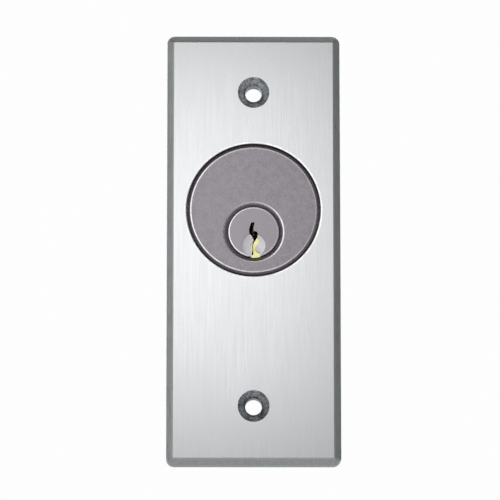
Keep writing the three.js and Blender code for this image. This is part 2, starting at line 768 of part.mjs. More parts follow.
const BARREL_RADIUS = PADDLE_PIN_DIAMETER / 2 + RUNNING_GAP + PADDLE_BARREL_WALL;
const BARREL_Z = SWITCH_TOP + FIT_GAP + BARREL_RADIUS;
const BARREL_FRONT = FRONT_SWITCH_Y + 1.6;
const BARREL_BACK = BRACKET_WALL_Y - FIT_GAP;
const CLIP_THICKNESS = 0.6;

function paddle() {
  const leaf = block(
    PADDLE_PIN_X,
    PADDLE_PAST_CAM,
    BARREL_FRONT,
    BARREL_BACK,
    PADDLE_BOTTOM,
    PADDLE_TOP,
  );
  return cut(
    join(leaf, rodY(PADDLE_PIN_X, BARREL_Z, BARREL_RADIUS, BARREL_FRONT, BARREL_BACK)),
    rodY(
      PADDLE_PIN_X,
      BARREL_Z,
      PADDLE_PIN_DIAMETER / 2 + RUNNING_GAP,
      BARREL_FRONT - 2,
      BARREL_BACK + 1,
    ),
  );
}

/** The paddle's hinge pin: a headed pin from behind the bracket wall, grooved for a clip in front. */
function paddlePin() {
  const radius = PADDLE_PIN_DIAMETER / 2;
  const grooveFront = BARREL_FRONT - FIT_GAP - CLIP_THICKNESS - RUNNING_GAP;
  const grooveBack = BARREL_FRONT - FIT_GAP + RUNNING_GAP;
  const grooveRadius = radius - 0.3;
  return turnedY(PADDLE_PIN_X, BARREL_Z, [
    [0, grooveFront - 0.8],
    [radius - 0.2, grooveFront - 0.8],
    [radius, grooveFront - 0.6],
    [radius, grooveFront],
    [grooveRadius, grooveFront],
    [grooveRadius, grooveBack],
    [radius, grooveBack],
    [radius, BRACKET_WALL_BACK],
    [radius + 1.0, BRACKET_WALL_BACK],
    [radius + 1.0, BRACKET_WALL_BACK + 1.0],
    [0, BRACKET_WALL_BACK + 1.0],
  ]);
}

/** An open retaining clip that sits in the pin's groove. */
function pinClip() {
  const back = BARREL_FRONT - FIT_GAP;
  const front = back - CLIP_THICKNESS;
  const grip = PADDLE_PIN_DIAMETER / 2 - 0.3 + RUNNING_GAP;
  const mouth = grip * 0.8;
  return cut(
    rodY(PADDLE_PIN_X, BARREL_Z, PADDLE_PIN_DIAMETER / 2 + 1.0, front, back),
    rodY(PADDLE_PIN_X, BARREL_Z, grip, front - 1, back + 1),
    block(PADDLE_PIN_X - mouth, PADDLE_PIN_X + mouth, front - 1, back + 1, BARREL_Z, BARREL_Z + 5),
  );
}

// ---------------------------------------------------------------- bracket

/** The bent strip seen from above: foot on the plate, leg going back, wall behind the switches. */
function bracketStrip(footRight, wallRight) {
  const outer = BRACKET_BEND_RADIUS + BRACKET_SHEET;
  const inner = BRACKET_BEND_RADIUS;
  const left = BRACKET_LEG_X;
  const back = BRACKET_WALL_BACK;
  const shape = new THREE.Shape();
  shape.moveTo(footRight, 0);
  shape.lineTo(footRight, BRACKET_SHEET);
  shape.absarc(left + outer, outer, inner, 1.5 * Math.PI, Math.PI, true);
  shape.absarc(left + outer, back - outer, inner, Math.PI, 0.5 * Math.PI, true);
  shape.lineTo(wallRight, BRACKET_WALL_Y);
  shape.lineTo(wallRight, back);
  shape.absarc(left + outer, back - outer, outer, 0.5 * Math.PI, Math.PI, false);
  shape.absarc(left + outer, outer, outer, Math.PI, 1.5 * Math.PI, false);
  return shape;
}

function switchBracket() {
  const footRight = BRACKET_LEG_X + BRACKET_SHEET + 10 + BRACKET_SCREW_SPACING;
  const wallRight = SWITCH_LENGTH / 2 + 1.5;
  const bottom = SWITCH_BOTTOM - 0.8;
  const top = BARREL_Z + BARREL_RADIUS + 1.2;
  const strip = slabZ(bracketStrip(footRight, wallRight), bottom, top);
  const footLeft = BRACKET_LEG_X + BRACKET_SHEET + BRACKET_BEND_RADIUS;
  const foot = block(footLeft, footRight, 0, BRACKET_SHEET, BRACKET_FOOT_BOTTOM, bottom + 1);
  const nutRelief = cut(
    block(-60, 60, -1, BRACKET_SHEET + 0.5, CYLINDER_Z - RING_NUT_DIAMETER, top + 1),
    block(-60, 60, -2, BRACKET_SHEET + 1, -60, CYLINDER_Z - RING_NUT_DIAMETER / 2 - 1),
  );
  const screwHoles = bracketScrewPlaces().map(([x, z]) => (
    rodY(x, z, BRACKET_SCREW_DIAMETER / 2 + RUNNING_GAP, -1, BRACKET_SHEET + 1)
  ));
  const pinHole = rodY(
    PADDLE_PIN_X,
    BARREL_Z,
    PADDLE_PIN_DIAMETER / 2 + RUNNING_GAP,
    BRACKET_WALL_Y - 1,
    BRACKET_WALL_BACK + 1,
  );
  return cut(
    join(strip, foot),
    nutRelief,
    pinHole,
    ...screwHoles,
    ...switchHoleRods(BRACKET_WALL_Y, BRACKET_WALL_BACK),
  );
}

// ---------------------------------------------------------------- the assembly

addPiece('faceplate', faceplate(), satinMetal());
addPiece('cylinder_shell', cylinderShell(), dullNickel());
addPiece('plug', plug(), dullNickel());
PIN_YS.forEach((y, i) => {
  addPiece(`bottom_pin_${i + 1}`, bottomPin(y, PIN_TIP_LEVELS[i]), brass());
  addPiece(`driver_pin_${i + 1}`, driverPin(y), brass());
  addPiece(`pin_spring_${i + 1}`, pinSpring(y), springSteel());
});
addPiece('chamber_cover', chamberCover(), brass());
addPiece('ring_nut', ringNut(), zincSteel());

addPiece('cam', cam(), zincSteel());
camScrewXs().forEach((x, i) => {
  addPiece(
    `cam_screw_${i + 1}`,
    backScrew(x, PLUG_Z, CAM_SCREW_DIAMETER, PLUG_BACK - 4.6, CAM_BACK, 4.2, 1.4),
    zincSteel(),
  );
});

addPiece('switch_bracket', switchBracket(), zincSteel());
bracketScrewPlaces().forEach(([x, z], i) => {
  addPiece(
    `bracket_screw_${i + 1}`,
    backScrew(x, z, BRACKET_SCREW_DIAMETER, BRACKET_SHEET - BRACKET_SCREW_LENGTH, BRACKET_SHEET, 5.2, 1.7),
    zincSteel(),
  );
});
addSwitch('front_switch', FRONT_SWITCH_Y);
addSwitch('rear_switch', REAR_SWITCH_Y);
addPiece('middle_card', insulationCard(REAR_SWITCH_Y - CARD_THICKNESS), fishPaper());
addPiece('rear_card', insulationCard(BRACKET_WALL_Y - CARD_THICKNESS), fishPaper());
switchHoleXs().forEach((x, i) => {
  addPiece(`switch_screw_${i + 1}`, switchScrew(x), zincSteel());
  addPiece(`switch_nut_${i + 1}`, switchNut(x), zincSteel());
});

addPiece('paddle', paddle(), springSteel());
addPiece('paddle_pin', paddlePin(), springSteel());
addPiece('pin_clip', pinClip(), springSteel());

export default assembly;
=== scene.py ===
"""Key switch on a narrow wall plate: the finished look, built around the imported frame."""

import math
import random

import bmesh
import bpy
from mathutils import Euler, Matrix, Vector


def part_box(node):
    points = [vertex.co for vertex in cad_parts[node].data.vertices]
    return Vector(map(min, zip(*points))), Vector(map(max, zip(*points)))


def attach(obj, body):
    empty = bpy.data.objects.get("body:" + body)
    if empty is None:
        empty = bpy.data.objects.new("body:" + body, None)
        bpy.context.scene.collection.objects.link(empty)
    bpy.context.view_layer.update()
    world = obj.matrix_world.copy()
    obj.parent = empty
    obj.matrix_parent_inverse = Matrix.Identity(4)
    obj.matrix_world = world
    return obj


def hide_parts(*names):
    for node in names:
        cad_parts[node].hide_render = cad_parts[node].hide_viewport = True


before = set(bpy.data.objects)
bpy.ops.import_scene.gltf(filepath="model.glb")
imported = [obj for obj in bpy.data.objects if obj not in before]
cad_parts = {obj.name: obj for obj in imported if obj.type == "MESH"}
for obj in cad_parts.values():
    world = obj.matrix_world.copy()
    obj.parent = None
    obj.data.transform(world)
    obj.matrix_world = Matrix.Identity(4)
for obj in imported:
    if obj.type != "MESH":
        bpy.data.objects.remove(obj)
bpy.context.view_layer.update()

MM = 0.001
FULL_TURN = 2 * math.pi
scene = bpy.context.scene
random.seed(7)


# ------------------------------------------------------------------ places, taken from the frame

def low(name):
    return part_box(name)[0]


def high(name):
    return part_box(name)[1]


def middle(name):
    return (low(name) + high(name)) / 2


def size(name):
    return high(name) - low(name)


PLATE_FRONT = low("faceplate").y
PLATE_BACK = high("faceplate").y
CYLINDER_AXIS = middle("cylinder_shell")
HEAD_RADIUS = size("cylinder_shell").z / 2
BODY_RADIUS = 14.6 * MM
HEAD_THICKNESS = 3.2 * MM
HEAD_BACK = PLATE_FRONT + HEAD_THICKNESS
PLUG_AXIS = middle("plug")
PLUG_FACE_RADIUS = size("plug").z / 2
PLUG_RADIUS = 6.35 * MM
PIN_NUMBERS = range(1, 6)
PIN_PLACES = [middle(f"driver_pin_{i}") for i in PIN_NUMBERS]
CHAMBER_RADIUS = 1.55 * MM


# ------------------------------------------------------------------ shader groups and materials

def place(tree, kind, inputs=None, **settings):
    """Adds a node, sets its fields, and fills its inputs with values or links."""
    made = tree.nodes.new(kind)
    for field, value in settings.items():
        setattr(made, field, value)
    for name, value in (inputs or {}).items():
        if isinstance(value, bpy.types.NodeSocket):
            tree.links.new(value, made.inputs[name])
        else:
            made.inputs[name].default_value = value
    return made


def new_group(name, inputs, outputs):
    """A shader node group with named sockets; returns it with its input and output nodes."""
    group = bpy.data.node_groups.new(name, "ShaderNodeTree")
    for socket, kind, default in inputs:
        made = group.interface.new_socket(socket, in_out="INPUT", socket_type=kind)
        if default is not None:
            made.default_value = default
    for socket in outputs:
        group.interface.new_socket(socket, in_out="OUTPUT", socket_type="NodeSocketFloat")
    return group, group.nodes.new("NodeGroupInput"), group.nodes.new("NodeGroupOutput")


def make_grain_group():
    """Long fine scratches along Z, as left by a sanding belt."""
    group, given, result = new_group(
        "belt_grain",
        [("Vector", "NodeSocketVector", None), ("Across", "NodeSocketFloat", 4000.0),
         ("Along", "NodeSocketFloat", 60.0)],
        ["Streaks", "Scratches"],
    )
    stretch = place(group, "ShaderNodeCombineXYZ", {
        "X": given.outputs["Across"], "Y": given.outputs["Across"], "Z": given.outputs["Along"]})
    spread = place(group, "ShaderNodeVectorMath", {
        0: given.outputs["Vector"], 1: stretch.outputs[0]}, operation="MULTIPLY")
    fine = place(group, "ShaderNodeTexNoise", {
        "Vector": spread.outputs[0], "Scale": 1.0, "Detail": 3.0, "Roughness": 0.65})
    streaks = place(group, "ShaderNodeMapRange", {
        "Value": fine.outputs[0], "From Min": 0.3, "From Max": 0.7})
    cuts = place(group, "ShaderNodeMapRange", {
        "Value": fine.outputs[0], "From Min": 0.62, "From Max": 0.78})
    group.links.new(streaks.outputs[0], result.inputs["Streaks"])
    group.links.new(cuts.outputs[0], result.inputs["Scratches"])
    return group


def make_stipple_group():
    """Fine speckle of pits and bright points, as on a dull-plated casting."""
    group, given, result = new_group(
        "plated_stipple",
        [("Vector", "NodeSocketVector", None), ("Scale", "NodeSocketFloat", 2500.0)],
        ["Tone", "Height"],
    )
    fine = place(group, "ShaderNodeTexNoise", {
        "Vector": given.outputs["Vector"], "Scale": given.outputs["Scale"], "Detail": 1.5,
        "Roughness": 0.6})
    slower = place(group, "ShaderNodeMath", {
        0: given.outputs["Scale"], 1: 0.22}, operation="MULTIPLY")
    broad = place(group, "ShaderNodeTexNoise", {
        "Vector": given.outputs["Vector"], "Scale": slower.outputs[0], "Detail": 3.0,
        "Roughness": 0.6})
    both = place(group, "ShaderNodeMath", {
        0: fine.outputs[0], 1: broad.outputs[0]}, operation="ADD")
    tone = place(group, "ShaderNodeMapRange", {
        "Value": both.outputs[0], "From Min": 0.76, "From Max": 1.24})
    group.links.new(tone.outputs[0], result.inputs["Tone"])
    group.links.new(fine.outputs[0], result.inputs["Height"])
    return group


def make_mottle_group():
    """Slow clouds of tone: handling marks, uneven plating and thin dust."""
    group, given, result = new_group(
        "handling_mottle",
        [("Vector", "NodeSocketVector", None), ("Scale", "NodeSocketFloat", 90.0)],
        ["Cloud", "Marks"],
    )
    cloud = place(group, "ShaderNodeTexNoise", {
        "Vector": given.outputs["Vector"], "Scale": given.outputs["Scale"], "Detail": 5.0,
        "Roughness": 0.55, "Distortion": 0.6})
    marks = place(group, "ShaderNodeMapRange", {
        "Value": cloud.outputs[0], "From Min": 0.58, "From Max": 0.72})
    group.links.new(cloud.outputs[0], result.inputs["Cloud"])
    group.links.new(marks.outputs[0], result.inputs["Marks"])
    return group


def make_turning_group():
    """Rings left by a lathe or drill about the Y axis of the given vector."""
    group, given, result = new_group(
        "turning_rings",
        [("Vector", "NodeSocketVector", None), ("Rings", "NodeSocketFloat", 3000.0)],
        ["Rings"],
    )
    split = place(group, "ShaderNodeSeparateXYZ", {"Vector": given.outputs["Vector"]})
    flat = place(group, "ShaderNodeCombineXYZ", {"X": split.outputs[0], "Y": split.outputs[2]})
    radius = place(group, "ShaderNodeVectorMath", {0: flat.outputs[0]}, operation="LENGTH")
    along = place(group, "ShaderNodeMath", {
        0: radius.outputs["Value"], 1: given.outputs["Rings"]}, operation="MULTIPLY")
    noise = place(group, "ShaderNodeTexNoise", {
        "W": along.outputs[0], "Scale": 1.0, "Detail": 2.0, "Roughness": 0.6},
        noise_dimensions="1D")
    group.links.new(noise.outputs[0], result.inputs["Rings"])
    return group


GRAIN = make_grain_group()
STIPPLE = make_stipple_group()
MOTTLE = make_mottle_group()
TURNING = make_turning_group()


def use_group(tree, group, vector, **values):
    made = tree.nodes.new("ShaderNodeGroup")
    made.node_tree = group
    tree.links.new(vector, made.inputs["Vector"])
    for name, value in values.items():
        made.inputs[name].default_value = value
    return made


def start_material(name, centre=(0, 0, 0)):
    """An empty material with its Principled shader and a vector centred on a point of the object."""
    made = bpy.data.materials.new(name)
    made.use_nodes = True
    tree = made.node_tree
    tree.nodes.clear()
    output = place(tree, "ShaderNodeOutputMaterial")
    shader = place(tree, "ShaderNodeBsdfPrincipled")
    tree.links.new(shader.outputs[0], output.inputs[0])
    where = place(tree, "ShaderNodeTexCoord")
    moved = place(tree, "ShaderNodeMapping", {
        "Vector": where.outputs["Object"], "Location": [-v for v in centre]})
    return made, tree, shader, moved.outputs[0]


def mix_color_inputs(node):
    """The Mix node's colour sockets, by name, because its float sockets share their names."""
    return [s for s in node.inputs if s.type == "RGBA"]


def tone_between(tree, factor, dark, light):
    made = tree.nodes.new("ShaderNodeMix")
    made.data_type = "RGBA"
    tree.links.new(factor, made.inputs["Factor"])
    for socket, value in zip(mix_color_inputs(made), (dark, light)):
        if isinstance(value, bpy.types.NodeSocket):
            tree.links.new(value, socket)
        else:
            socket.default_value = (*value, 1)
    return [s for s in made.outputs if s.type == "RGBA"][0]


def spread_value(tree, value, least, most):
    return place(tree, "ShaderNodeMapRange", {
        "Value": value, "To Min": least, "To Max": most}).outputs[0]


def bump(tree, shader, height, strength, distance):
    made = place(tree, "ShaderNodeBump", {
        "Height": height, "Strength": strength, "Distance": distance})
    tree.links.new(made.outputs[0], shader.inputs["Normal"])


def metal(name, dark, light, rough, scale=90.0):
    """Plain worked metal: cloudy tone, uneven gloss, and a faint bump."""
    made, tree, shader, vector = start_material(name)
    shader.inputs["Metallic"].default_value = 1.0
    cloud = use_group(tree, MOTTLE, vector, Scale=scale)
    grit = use_group(tree, STIPPLE, vector, Scale=2200.0)
    blend = place(tree, "ShaderNodeMath", {
        0: cloud.outputs["Cloud"], 1: grit.outputs["Tone"]}, operation="MULTIPLY_ADD")
    blend.inputs[2].default_value = 0.25
    tree.links.new(tone_between(tree, blend.outputs[0], dark, light), shader.inputs["Base Color"])
    tree.links.new(
        spread_value(tree, cloud.outputs["Cloud"], rough - 0.08, rough + 0.1),
        shader.inputs["Roughness"],
    )
    bump(tree, shader, grit.outputs["Height"], 0.15, 0.02 * MM)
    return made


def satin_plate_material():
    made, tree, shader, vector = start_material("satin_aluminium")
    shader.inputs["Metallic"].default_value = 1.0
    grain = use_group(tree, GRAIN, vector, Across=4200.0, Along=90.0)
    cloud = use_group(tree, MOTTLE, vector, Scale=28.0)
    base = tone_between(tree, grain.outputs["Streaks"], (0.705, 0.715, 0.73), (0.80, 0.81, 0.82))
    marked = tone_between(tree, cloud.outputs["Marks"], base, (0.785, 0.785, 0.80))
    tree.links.new(marked, shader.inputs["Base Color"])
    tree.links.new(
        spread_value(tree, grain.outputs["Streaks"], 0.31, 0.40), shader.inputs["Roughness"])
    bump(tree, shader, grain.outputs["Streaks"], 0.3, 0.008 * MM)
    return made


def plate_bevel_material():
    made, tree, shader, vector = start_material("bevel_aluminium")
    shader.inputs["Metallic"].default_value = 1.0
    grain = use_group(tree, GRAIN, vector, Across=1700.0, Along=200.0)
    cloud = use_group(tree, MOTTLE, vector, Scale=120.0)
    # Painted shade: the bevels get a darker copy of the plate's aluminium; the coarser grain is the
    # bevel's own.
    base = tone_between(tree, grain.outputs["Streaks"], (0.49, 0.52, 0.51), (0.65, 0.68, 0.67))
    marked = tone_between(tree, cloud.outputs["Marks"], base, (0.6, 0.61, 0.61))
    tree.links.new(marked, shader.inputs["Base Color"])
    tree.links.new(
        spread_value(tree, grain.outputs["Streaks"], 0.26, 0.4), shader.inputs["Roughness"])
    bump(tree, shader, grain.outputs["Streaks"], 0.3, 0.02 * MM)
    return made


def dull_plating(name, dark, light, rough, centre):
    """Dull plating with stipple and the faint turning rings under it."""
    made, tree, shader, vector = start_material(name, centre)
    shader.inputs["Metallic"].default_value = 1.0
    grit = use_group(tree, STIPPLE, vector, Scale=2600.0)
    rings = use_group(tree, TURNING, vector, Rings=2600.0)
    cloud = use_group(tree, MOTTLE, vector, Scale=150.0)
    mixed = place(tree, "ShaderNodeMath", {
        0: rings.outputs[0], 1: 0.35, 2: grit.outputs["Tone"]}, operation="MULTIPLY_ADD")
    shifted = place(tree, "ShaderNodeMath", {
        0: mixed.outputs[0], 1: 0.18}, operation="SUBTRACT", use_clamp=True)
    base = tone_between(tree, shifted.outputs[0], dark, light)
    marked = tone_between(
        tree, spread_value(tree, cloud.outputs["Marks"], 0.0, 0.25), base, dark)
    tree.links.new(marked, shader.inputs["Base Color"])
    tree.links.new(
        spread_value(tree, grit.outputs["Tone"], rough - 0.08, rough + 0.08),
        shader.inputs["Roughness"],
    )
    bump(tree, shader, grit.outputs["Height"], 0.5, 0.03 * MM)
    return made


def turned_metal(name, dark, light, rough, centre, rings=3000.0, depth=0.03, pitting=0.0):
    """Bright or dark machined metal with rings about its own axis along Y, pitted if asked."""
    made, tree, shader, vector = start_material(name, centre)
    shader.inputs["Metallic"].default_value = 1.0
    ring = use_group(tree, TURNING, vector, Rings=rings)
    grit = use_group(tree, STIPPLE, vector, Scale=1800.0)
    pits = spread_value(tree, grit.outputs["Tone"], -pitting, pitting)
    tone = place(tree, "ShaderNodeMath", {
        0: ring.outputs[0], 1: pits}, operation="ADD", use_clamp=True)
    tree.links.new(tone_between(tree, tone.outputs[0], dark, light), shader.inputs["Base Color"])
    tree.links.new(
        spread_value(tree, grit.outputs["Tone"], rough - 0.06, rough + 0.08),
        shader.inputs["Roughness"],
    )
    bump(tree, shader, ring.outputs[0], 0.4, depth * MM)
    return made


def moulded_plastic(name, dark, light, rough):
    made, tree, shader, vector = start_material(name)
    grit = use_group(tree, STIPPLE, vector, Scale=1500.0)
    cloud = use_group(tree, MOTTLE, vector, Scale=160.0)
    base = tone_between(tree, grit.outputs["Tone"], dark, light)
    marked = tone_between(
        tree, spread_value(tree, cloud.outputs["Marks"], 0.0, 0.5), base, light)
    tree.links.new(marked, shader.inputs["Base Color"])
    tree.links.new(
        spread_value(tree, cloud.outputs["Cloud"], rough - 0.1, rough + 0.12),
        shader.inputs["Roughness"],
    )
    bump(tree, shader, grit.outputs["Height"], 0.35, 0.04 * MM)
    return made


def fish_paper_material():
    made, tree, shader, vector = start_material("fish_paper")
    fibre = use_group(tree, GRAIN, vector, Across=1500.0, Along=500.0)
    cloud = use_group(tree, MOTTLE, vector, Scale=200.0)
    base = tone_between(tree, fibre.outputs["Streaks"], (0.27, 0.285, 0.26), (0.40, 0.41, 0.375))
    marked = tone_between(
        tree, spread_value(tree, cloud.outputs["Marks"], 0.0, 0.4), base, (0.2, 0.21, 0.19))
    tree.links.new(marked, shader.inputs["Base Color"])
    tree.links.new(
        spread_value(tree, fibre.outputs["Streaks"], 0.75, 0.95), shader.inputs["Roughness"])
    bump(tree, shader, fibre.outputs["Streaks"], 0.4, 0.03 * MM)
    return made


SCREW_LEVEL = 41.67 * MM
SATIN_PLATE = satin_plate_material()
PLATE_BEVEL = plate_bevel_material()
COUNTERSINK_MATERIALS = {
    side: turned_metal(
        f"countersink_{side}", (0.07, 0.08, 0.09), (0.84, 0.87, 0.89), 0.34,
        (0, 0, z), rings=2300.0, depth=0.06, pitting=0.42)
    for side, z in (("upper", SCREW_LEVEL), ("lower", -SCREW_LEVEL))
}
HEAD_PLATING = dull_plating(
    "dull_plating", (0.30, 0.275, 0.305), (0.58, 0.54, 0.585), 0.5, CYLINDER_AXIS)
BODY_PLATING = metal("body_plating", (0.33, 0.32, 0.33), (0.5, 0.49, 0.5), 0.38)
# Painted shade: a darker copy of the head's plated metal for its chamfer and side wall and for the
# walls of the plug well, standing in for the dark ring and the shade inside.
RECESS_PAINTED_SHADE = turned_metal(
    "ring_recess_painted_shade", (0.28, 0.26, 0.28), (0.42, 0.39, 0.42), 0.42, CYLINDER_AXIS)
# Partly painted shade: the bore's turning rings are real, but its darker tone stands in for the shade
# in the gap round the head.
WELL_WALL = turned_metal(
    "bored_aluminium_painted_shade", (0.50, 0.49, 0.50), (0.68, 0.67, 0.68), 0.42, CYLINDER_AXIS)
PLUG_WELL_FACE = turned_metal(
    "plug_well_face", (0.44, 0.41, 0.44), (0.62, 0.58, 0.61), 0.36, PLUG_AXIS)
# Painted highlight: a lighter turned finish for the thin rims at the well's edge, inside the head's
# chamfer, at the plug well's mouth and round the plug face, standing in for their edge glints.
RIM_PAINTED_HIGHLIGHT = turned_metal(
    "rim_painted_highlight", (0.66, 0.65, 0.66), (0.80, 0.79, 0.80), 0.26, CYLINDER_AXIS)
PLUG_PLATING = dull_plating(
    "plug_plating", (0.34, 0.315, 0.35), (0.52, 0.495, 0.53), 0.46, PLUG_AXIS)
# Painted highlight: a lighter, grainless finish on the rounded rim between the plate's front and its
# bevels, standing in for the bright edge line.
EDGE_PAINTED_HIGHLIGHT = metal(
    "edge_painted_highlight", (0.70, 0.705, 0.71), (0.80, 0.805, 0.81), 0.34, scale=45.0)
KEY_STOP_FACE = metal(
    "milled_key_stop", (0.44, 0.43, 0.45), (0.62, 0.61, 0.63), 0.36, scale=700.0)
BARE_BRASS = metal("bare_brass", (0.58, 0.57, 0.22), (0.80, 0.80, 0.44), 0.32, scale=900.0)
# Painted shade: a near-black copy of the brass for the keyway's deep slot and the upper walls of its
# mouth.
KEYWAY_DARK = metal("keyway_shadow", (0.10, 0.06, 0.035), (0.30, 0.18, 0.11), 0.45, scale=900.0)
MACHINED_BRASS = metal(
    "machined_brass", (0.62, 0.47, 0.20), (0.80, 0.66, 0.36), 0.28, scale=300.0)
DRAWN_STEEL = metal("drawn_steel", (0.42, 0.43, 0.45), (0.66, 0.67, 0.69), 0.28, scale=260.0)
ZINC = metal("zinc_plate", (0.50, 0.52, 0.55), (0.72, 0.75, 0.78), 0.36, scale=130.0)
BRACKET_ZINC = metal("bracket_zinc", (0.46, 0.48, 0.50), (0.66, 0.68, 0.70), 0.42, scale=75.0)
TINNED = metal("tinned_brass", (0.62, 0.60, 0.54), (0.82, 0.81, 0.76), 0.3, scale=340.0)
PHENOLIC = moulded_plastic("black_phenolic", (0.012, 0.012, 0.013), (0.035, 0.034, 0.033), 0.48)
RED_PLASTIC = moulded_plastic("red_plastic", (0.42, 0.022, 0.014), (0.52, 0.04, 0.025), 0.36)
FISH_PAPER = fish_paper_material()


# ------------------------------------------------------------------ making pieces

def soften(points, radius, steps=3):
    """Rounds the inner corners of a profile: each corner becomes a short arc of a few steps."""
    softened = [Vector(points[0])]
    for before, corner, after in zip(points, points[1:], points[2:]):
        before, corner, after = Vector(before), Vector(corner), Vector(after)
        back, ahead = before - corner, after - corner
        reach = min(radius, back.length * 0.45, ahead.length * 0.45)
        start, end = corner + back.normalized() * reach, corner + ahead.normalized() * reach
        for i in range(steps + 1):
            t = i / steps
            softened.append(start * (1 - t) ** 2 + corner * 2 * t * (1 - t) + end * t ** 2)
    softened.append(Vector(points[-1]))
    return softened


def turned(profile, centre, axis="Y", steps=64, edge=0.12 * MM, material=0):
    """A turned solid or ring. The profile is (radius, along) pairs, as a line that starts and
    ends on the axis or a closed loop beside it."""
    bm = bmesh.new()
    points = soften(profile, edge) if edge else [Vector(p) for p in profile]
    verts = [bm.verts.new((p[0], p[1], 0)) for p in points]
    edges = [bm.edges.new(pair) for pair in zip(verts, verts[1:])]
    bmesh.ops.spin(
        bm, geom=verts + edges, cent=(0, 0, 0), axis=(0, 1, 0), angle=FULL_TURN, steps=steps,
        use_merge=True)
    bmesh.ops.remove_doubles(bm, verts=bm.verts, dist=1e-7)
    if axis == "Z":
        bmesh.ops.rotate(bm, verts=bm.verts, matrix=Matrix.Rotation(math.pi / 2, 3, "X"))
    bmesh.ops.translate(bm, verts=bm.verts, vec=centre)
    bmesh.ops.recalc_face_normals(bm, faces=bm.faces)
    for face in bm.faces:
        face.material_index = material
    return bm


def prism(outline, start, end, material):
    """A straight piece with a flat outline, between two places along Y."""
    bm = bmesh.new()
    face = bm.faces.new([bm.verts.new((a, start, b)) for a, b in outline])
    grown = bmesh.ops.extrude_face_region(bm, geom=[face], use_keep_orig=True)
    moved = [g for g in grown["geom"] if isinstance(g, bmesh.types.BMVert)]
    bmesh.ops.translate(bm, verts=moved, vec=(0, end - start, 0))
    bmesh.ops.recalc_face_normals(bm, faces=bm.faces)
    for face in bm.faces:
        face.material_index = material
    return bm


def block(lo, hi, edge=0.0, material=0):
    """A rectangular piece between two corners."""
    bm = bmesh.new()
    bmesh.ops.create_cube(bm, size=1)
    lo, hi = Vector(lo), Vector(hi)
    bmesh.ops.scale(bm, verts=bm.verts, vec=hi - lo)
    bmesh.ops.translate(bm, verts=bm.verts, vec=(lo + hi) / 2)
    if edge:
        round_edges(bm, edge)
    for face in bm.faces:
        face.material_index = material
    return bm


def round_edges(bm, width, segments=2, sharper_than=30, chosen=None):
    """Rounds the chosen edges, or else every sharp one, by a small width."""
    limit = math.radians(sharper_than)
    edges = chosen or [
        e for e in bm.edges if e.is_manifold and e.calc_face_angle(0) > limit]
    bmesh.ops.bevel(
        bm, geom=edges, offset=width, offset_type="OFFSET", segments=segments, profile=0.5,
        affect="EDGES", material=-1, clamp_overlap=True)


def as_object(bm, name, materials):
    mesh = bpy.data.meshes.new(name)
    bm.to_mesh(mesh)
    bm.free()
    for material in materials:
        mesh.materials.append(material)
    made = bpy.data.objects.new(name, mesh)
    scene.collection.objects.link(made)
    return made


def combined(first, *others):
    """Adds the faces of other bmeshes to the first, as separate shells of one mesh."""
    for other in others:
        mesh = bpy.data.meshes.new("joining")
        other.to_mesh(mesh)
        other.free()
        first.from_mesh(mesh)
        bpy.data.meshes.remove(mesh)
    return first


def carve(bm, materials, *cutters, operation="DIFFERENCE"):
    """Cuts solids out of a solid, or joins or trims it with them. The new faces keep the
    material index of the solid they come from."""
    body = as_object(bm, "carved", materials)
    tools = []
    for cutter in cutters:
        tool = as_object(cutter, "cutter", materials)
        tools.append(tool)
        step = body.modifiers.new("cut", "BOOLEAN")
        step.operation = operation
        step.solver = "EXACT"
        step.object = tool
    view_layer = bpy.context.evaluated_depsgraph_get()
    view_layer.update()
    result = bmesh.new()
    result.from_mesh(body.evaluated_get(view_layer).to_mesh())
    for used in (body, *tools):
        mesh = used.data
        bpy.data.objects.remove(used)
        bpy.data.meshes.remove(mesh)
    return result


def finish(bm, name, materials, nodes, body, smooth=32, even=False):
    """Makes the piece, shades it, and puts it on its body in place of its CAD nodes."""
    bmesh.ops.remove_doubles(bm, verts=bm.verts, dist=2e-7)
    loose = [v for v in bm.verts if not v.link_faces]
    bmesh.ops.delete(bm, geom=loose, context="VERTS")
    bmesh.ops.recalc_face_normals(bm, faces=bm.faces)
    made = as_object(bm, name, materials)
    made.data.shade_smooth()
    made.data.set_sharp_from_angle(angle=math.radians(smooth))
    if even:
        weighted = made.modifiers.new("even_shading", "WEIGHTED_NORMAL")
        weighted.weight = 100
        weighted.keep_sharp = True
    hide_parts(*nodes)
    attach(made, body)
    return made


def cut_thread(bm, centre, start, end, radius, pitch, depth):
    """Presses a helical groove into a fine-ringed shank between two places along Y."""
    for vert in bm.verts:
        at = vert.co - Vector(centre)
        if not start < at.y < end or math.hypot(at.x, at.z) < radius * 0.98:
            continue
        turn = math.atan2(at.z, at.x) / FULL_TURN
        wave = abs(((at.y / pitch - turn) % 1) * 2 - 1)
        fade = min(1, (at.y - start) / pitch, (end - at.y) / pitch)
        shrink = 1 - depth * wave * fade / radius
        vert.co.x = centre[0] + at.x * shrink
        vert.co.z = centre[2] + at.z * shrink


def shank_points(radius, start, end, pitch, rings=4):
    """Profile points close enough together along a shank to hold a thread."""
    count = max(2, round(abs(end - start) / pitch * rings))
    return [(radius, start + (end - start) * i / count) for i in range(1, count)]


# ------------------------------------------------------------------ face plate

BEVEL_WIDTH = 1.75 * MM
BEVEL_DEPTH = 1.5 * MM
CORNER_RADIUS = 2.1 * MM
RIM_ROUNDING = 0.26 * MM
BRACKET_SCREW_HOLE = 1.55 * MM
BRACKET_SCREW_HOLE_END = -4.4 * MM
BEVEL_FACE, BORE_FACE, UPPER_SINK, LOWER_SINK, WELL_RIM, RIM_HIGHLIGHT_FACE = range(1, 7)


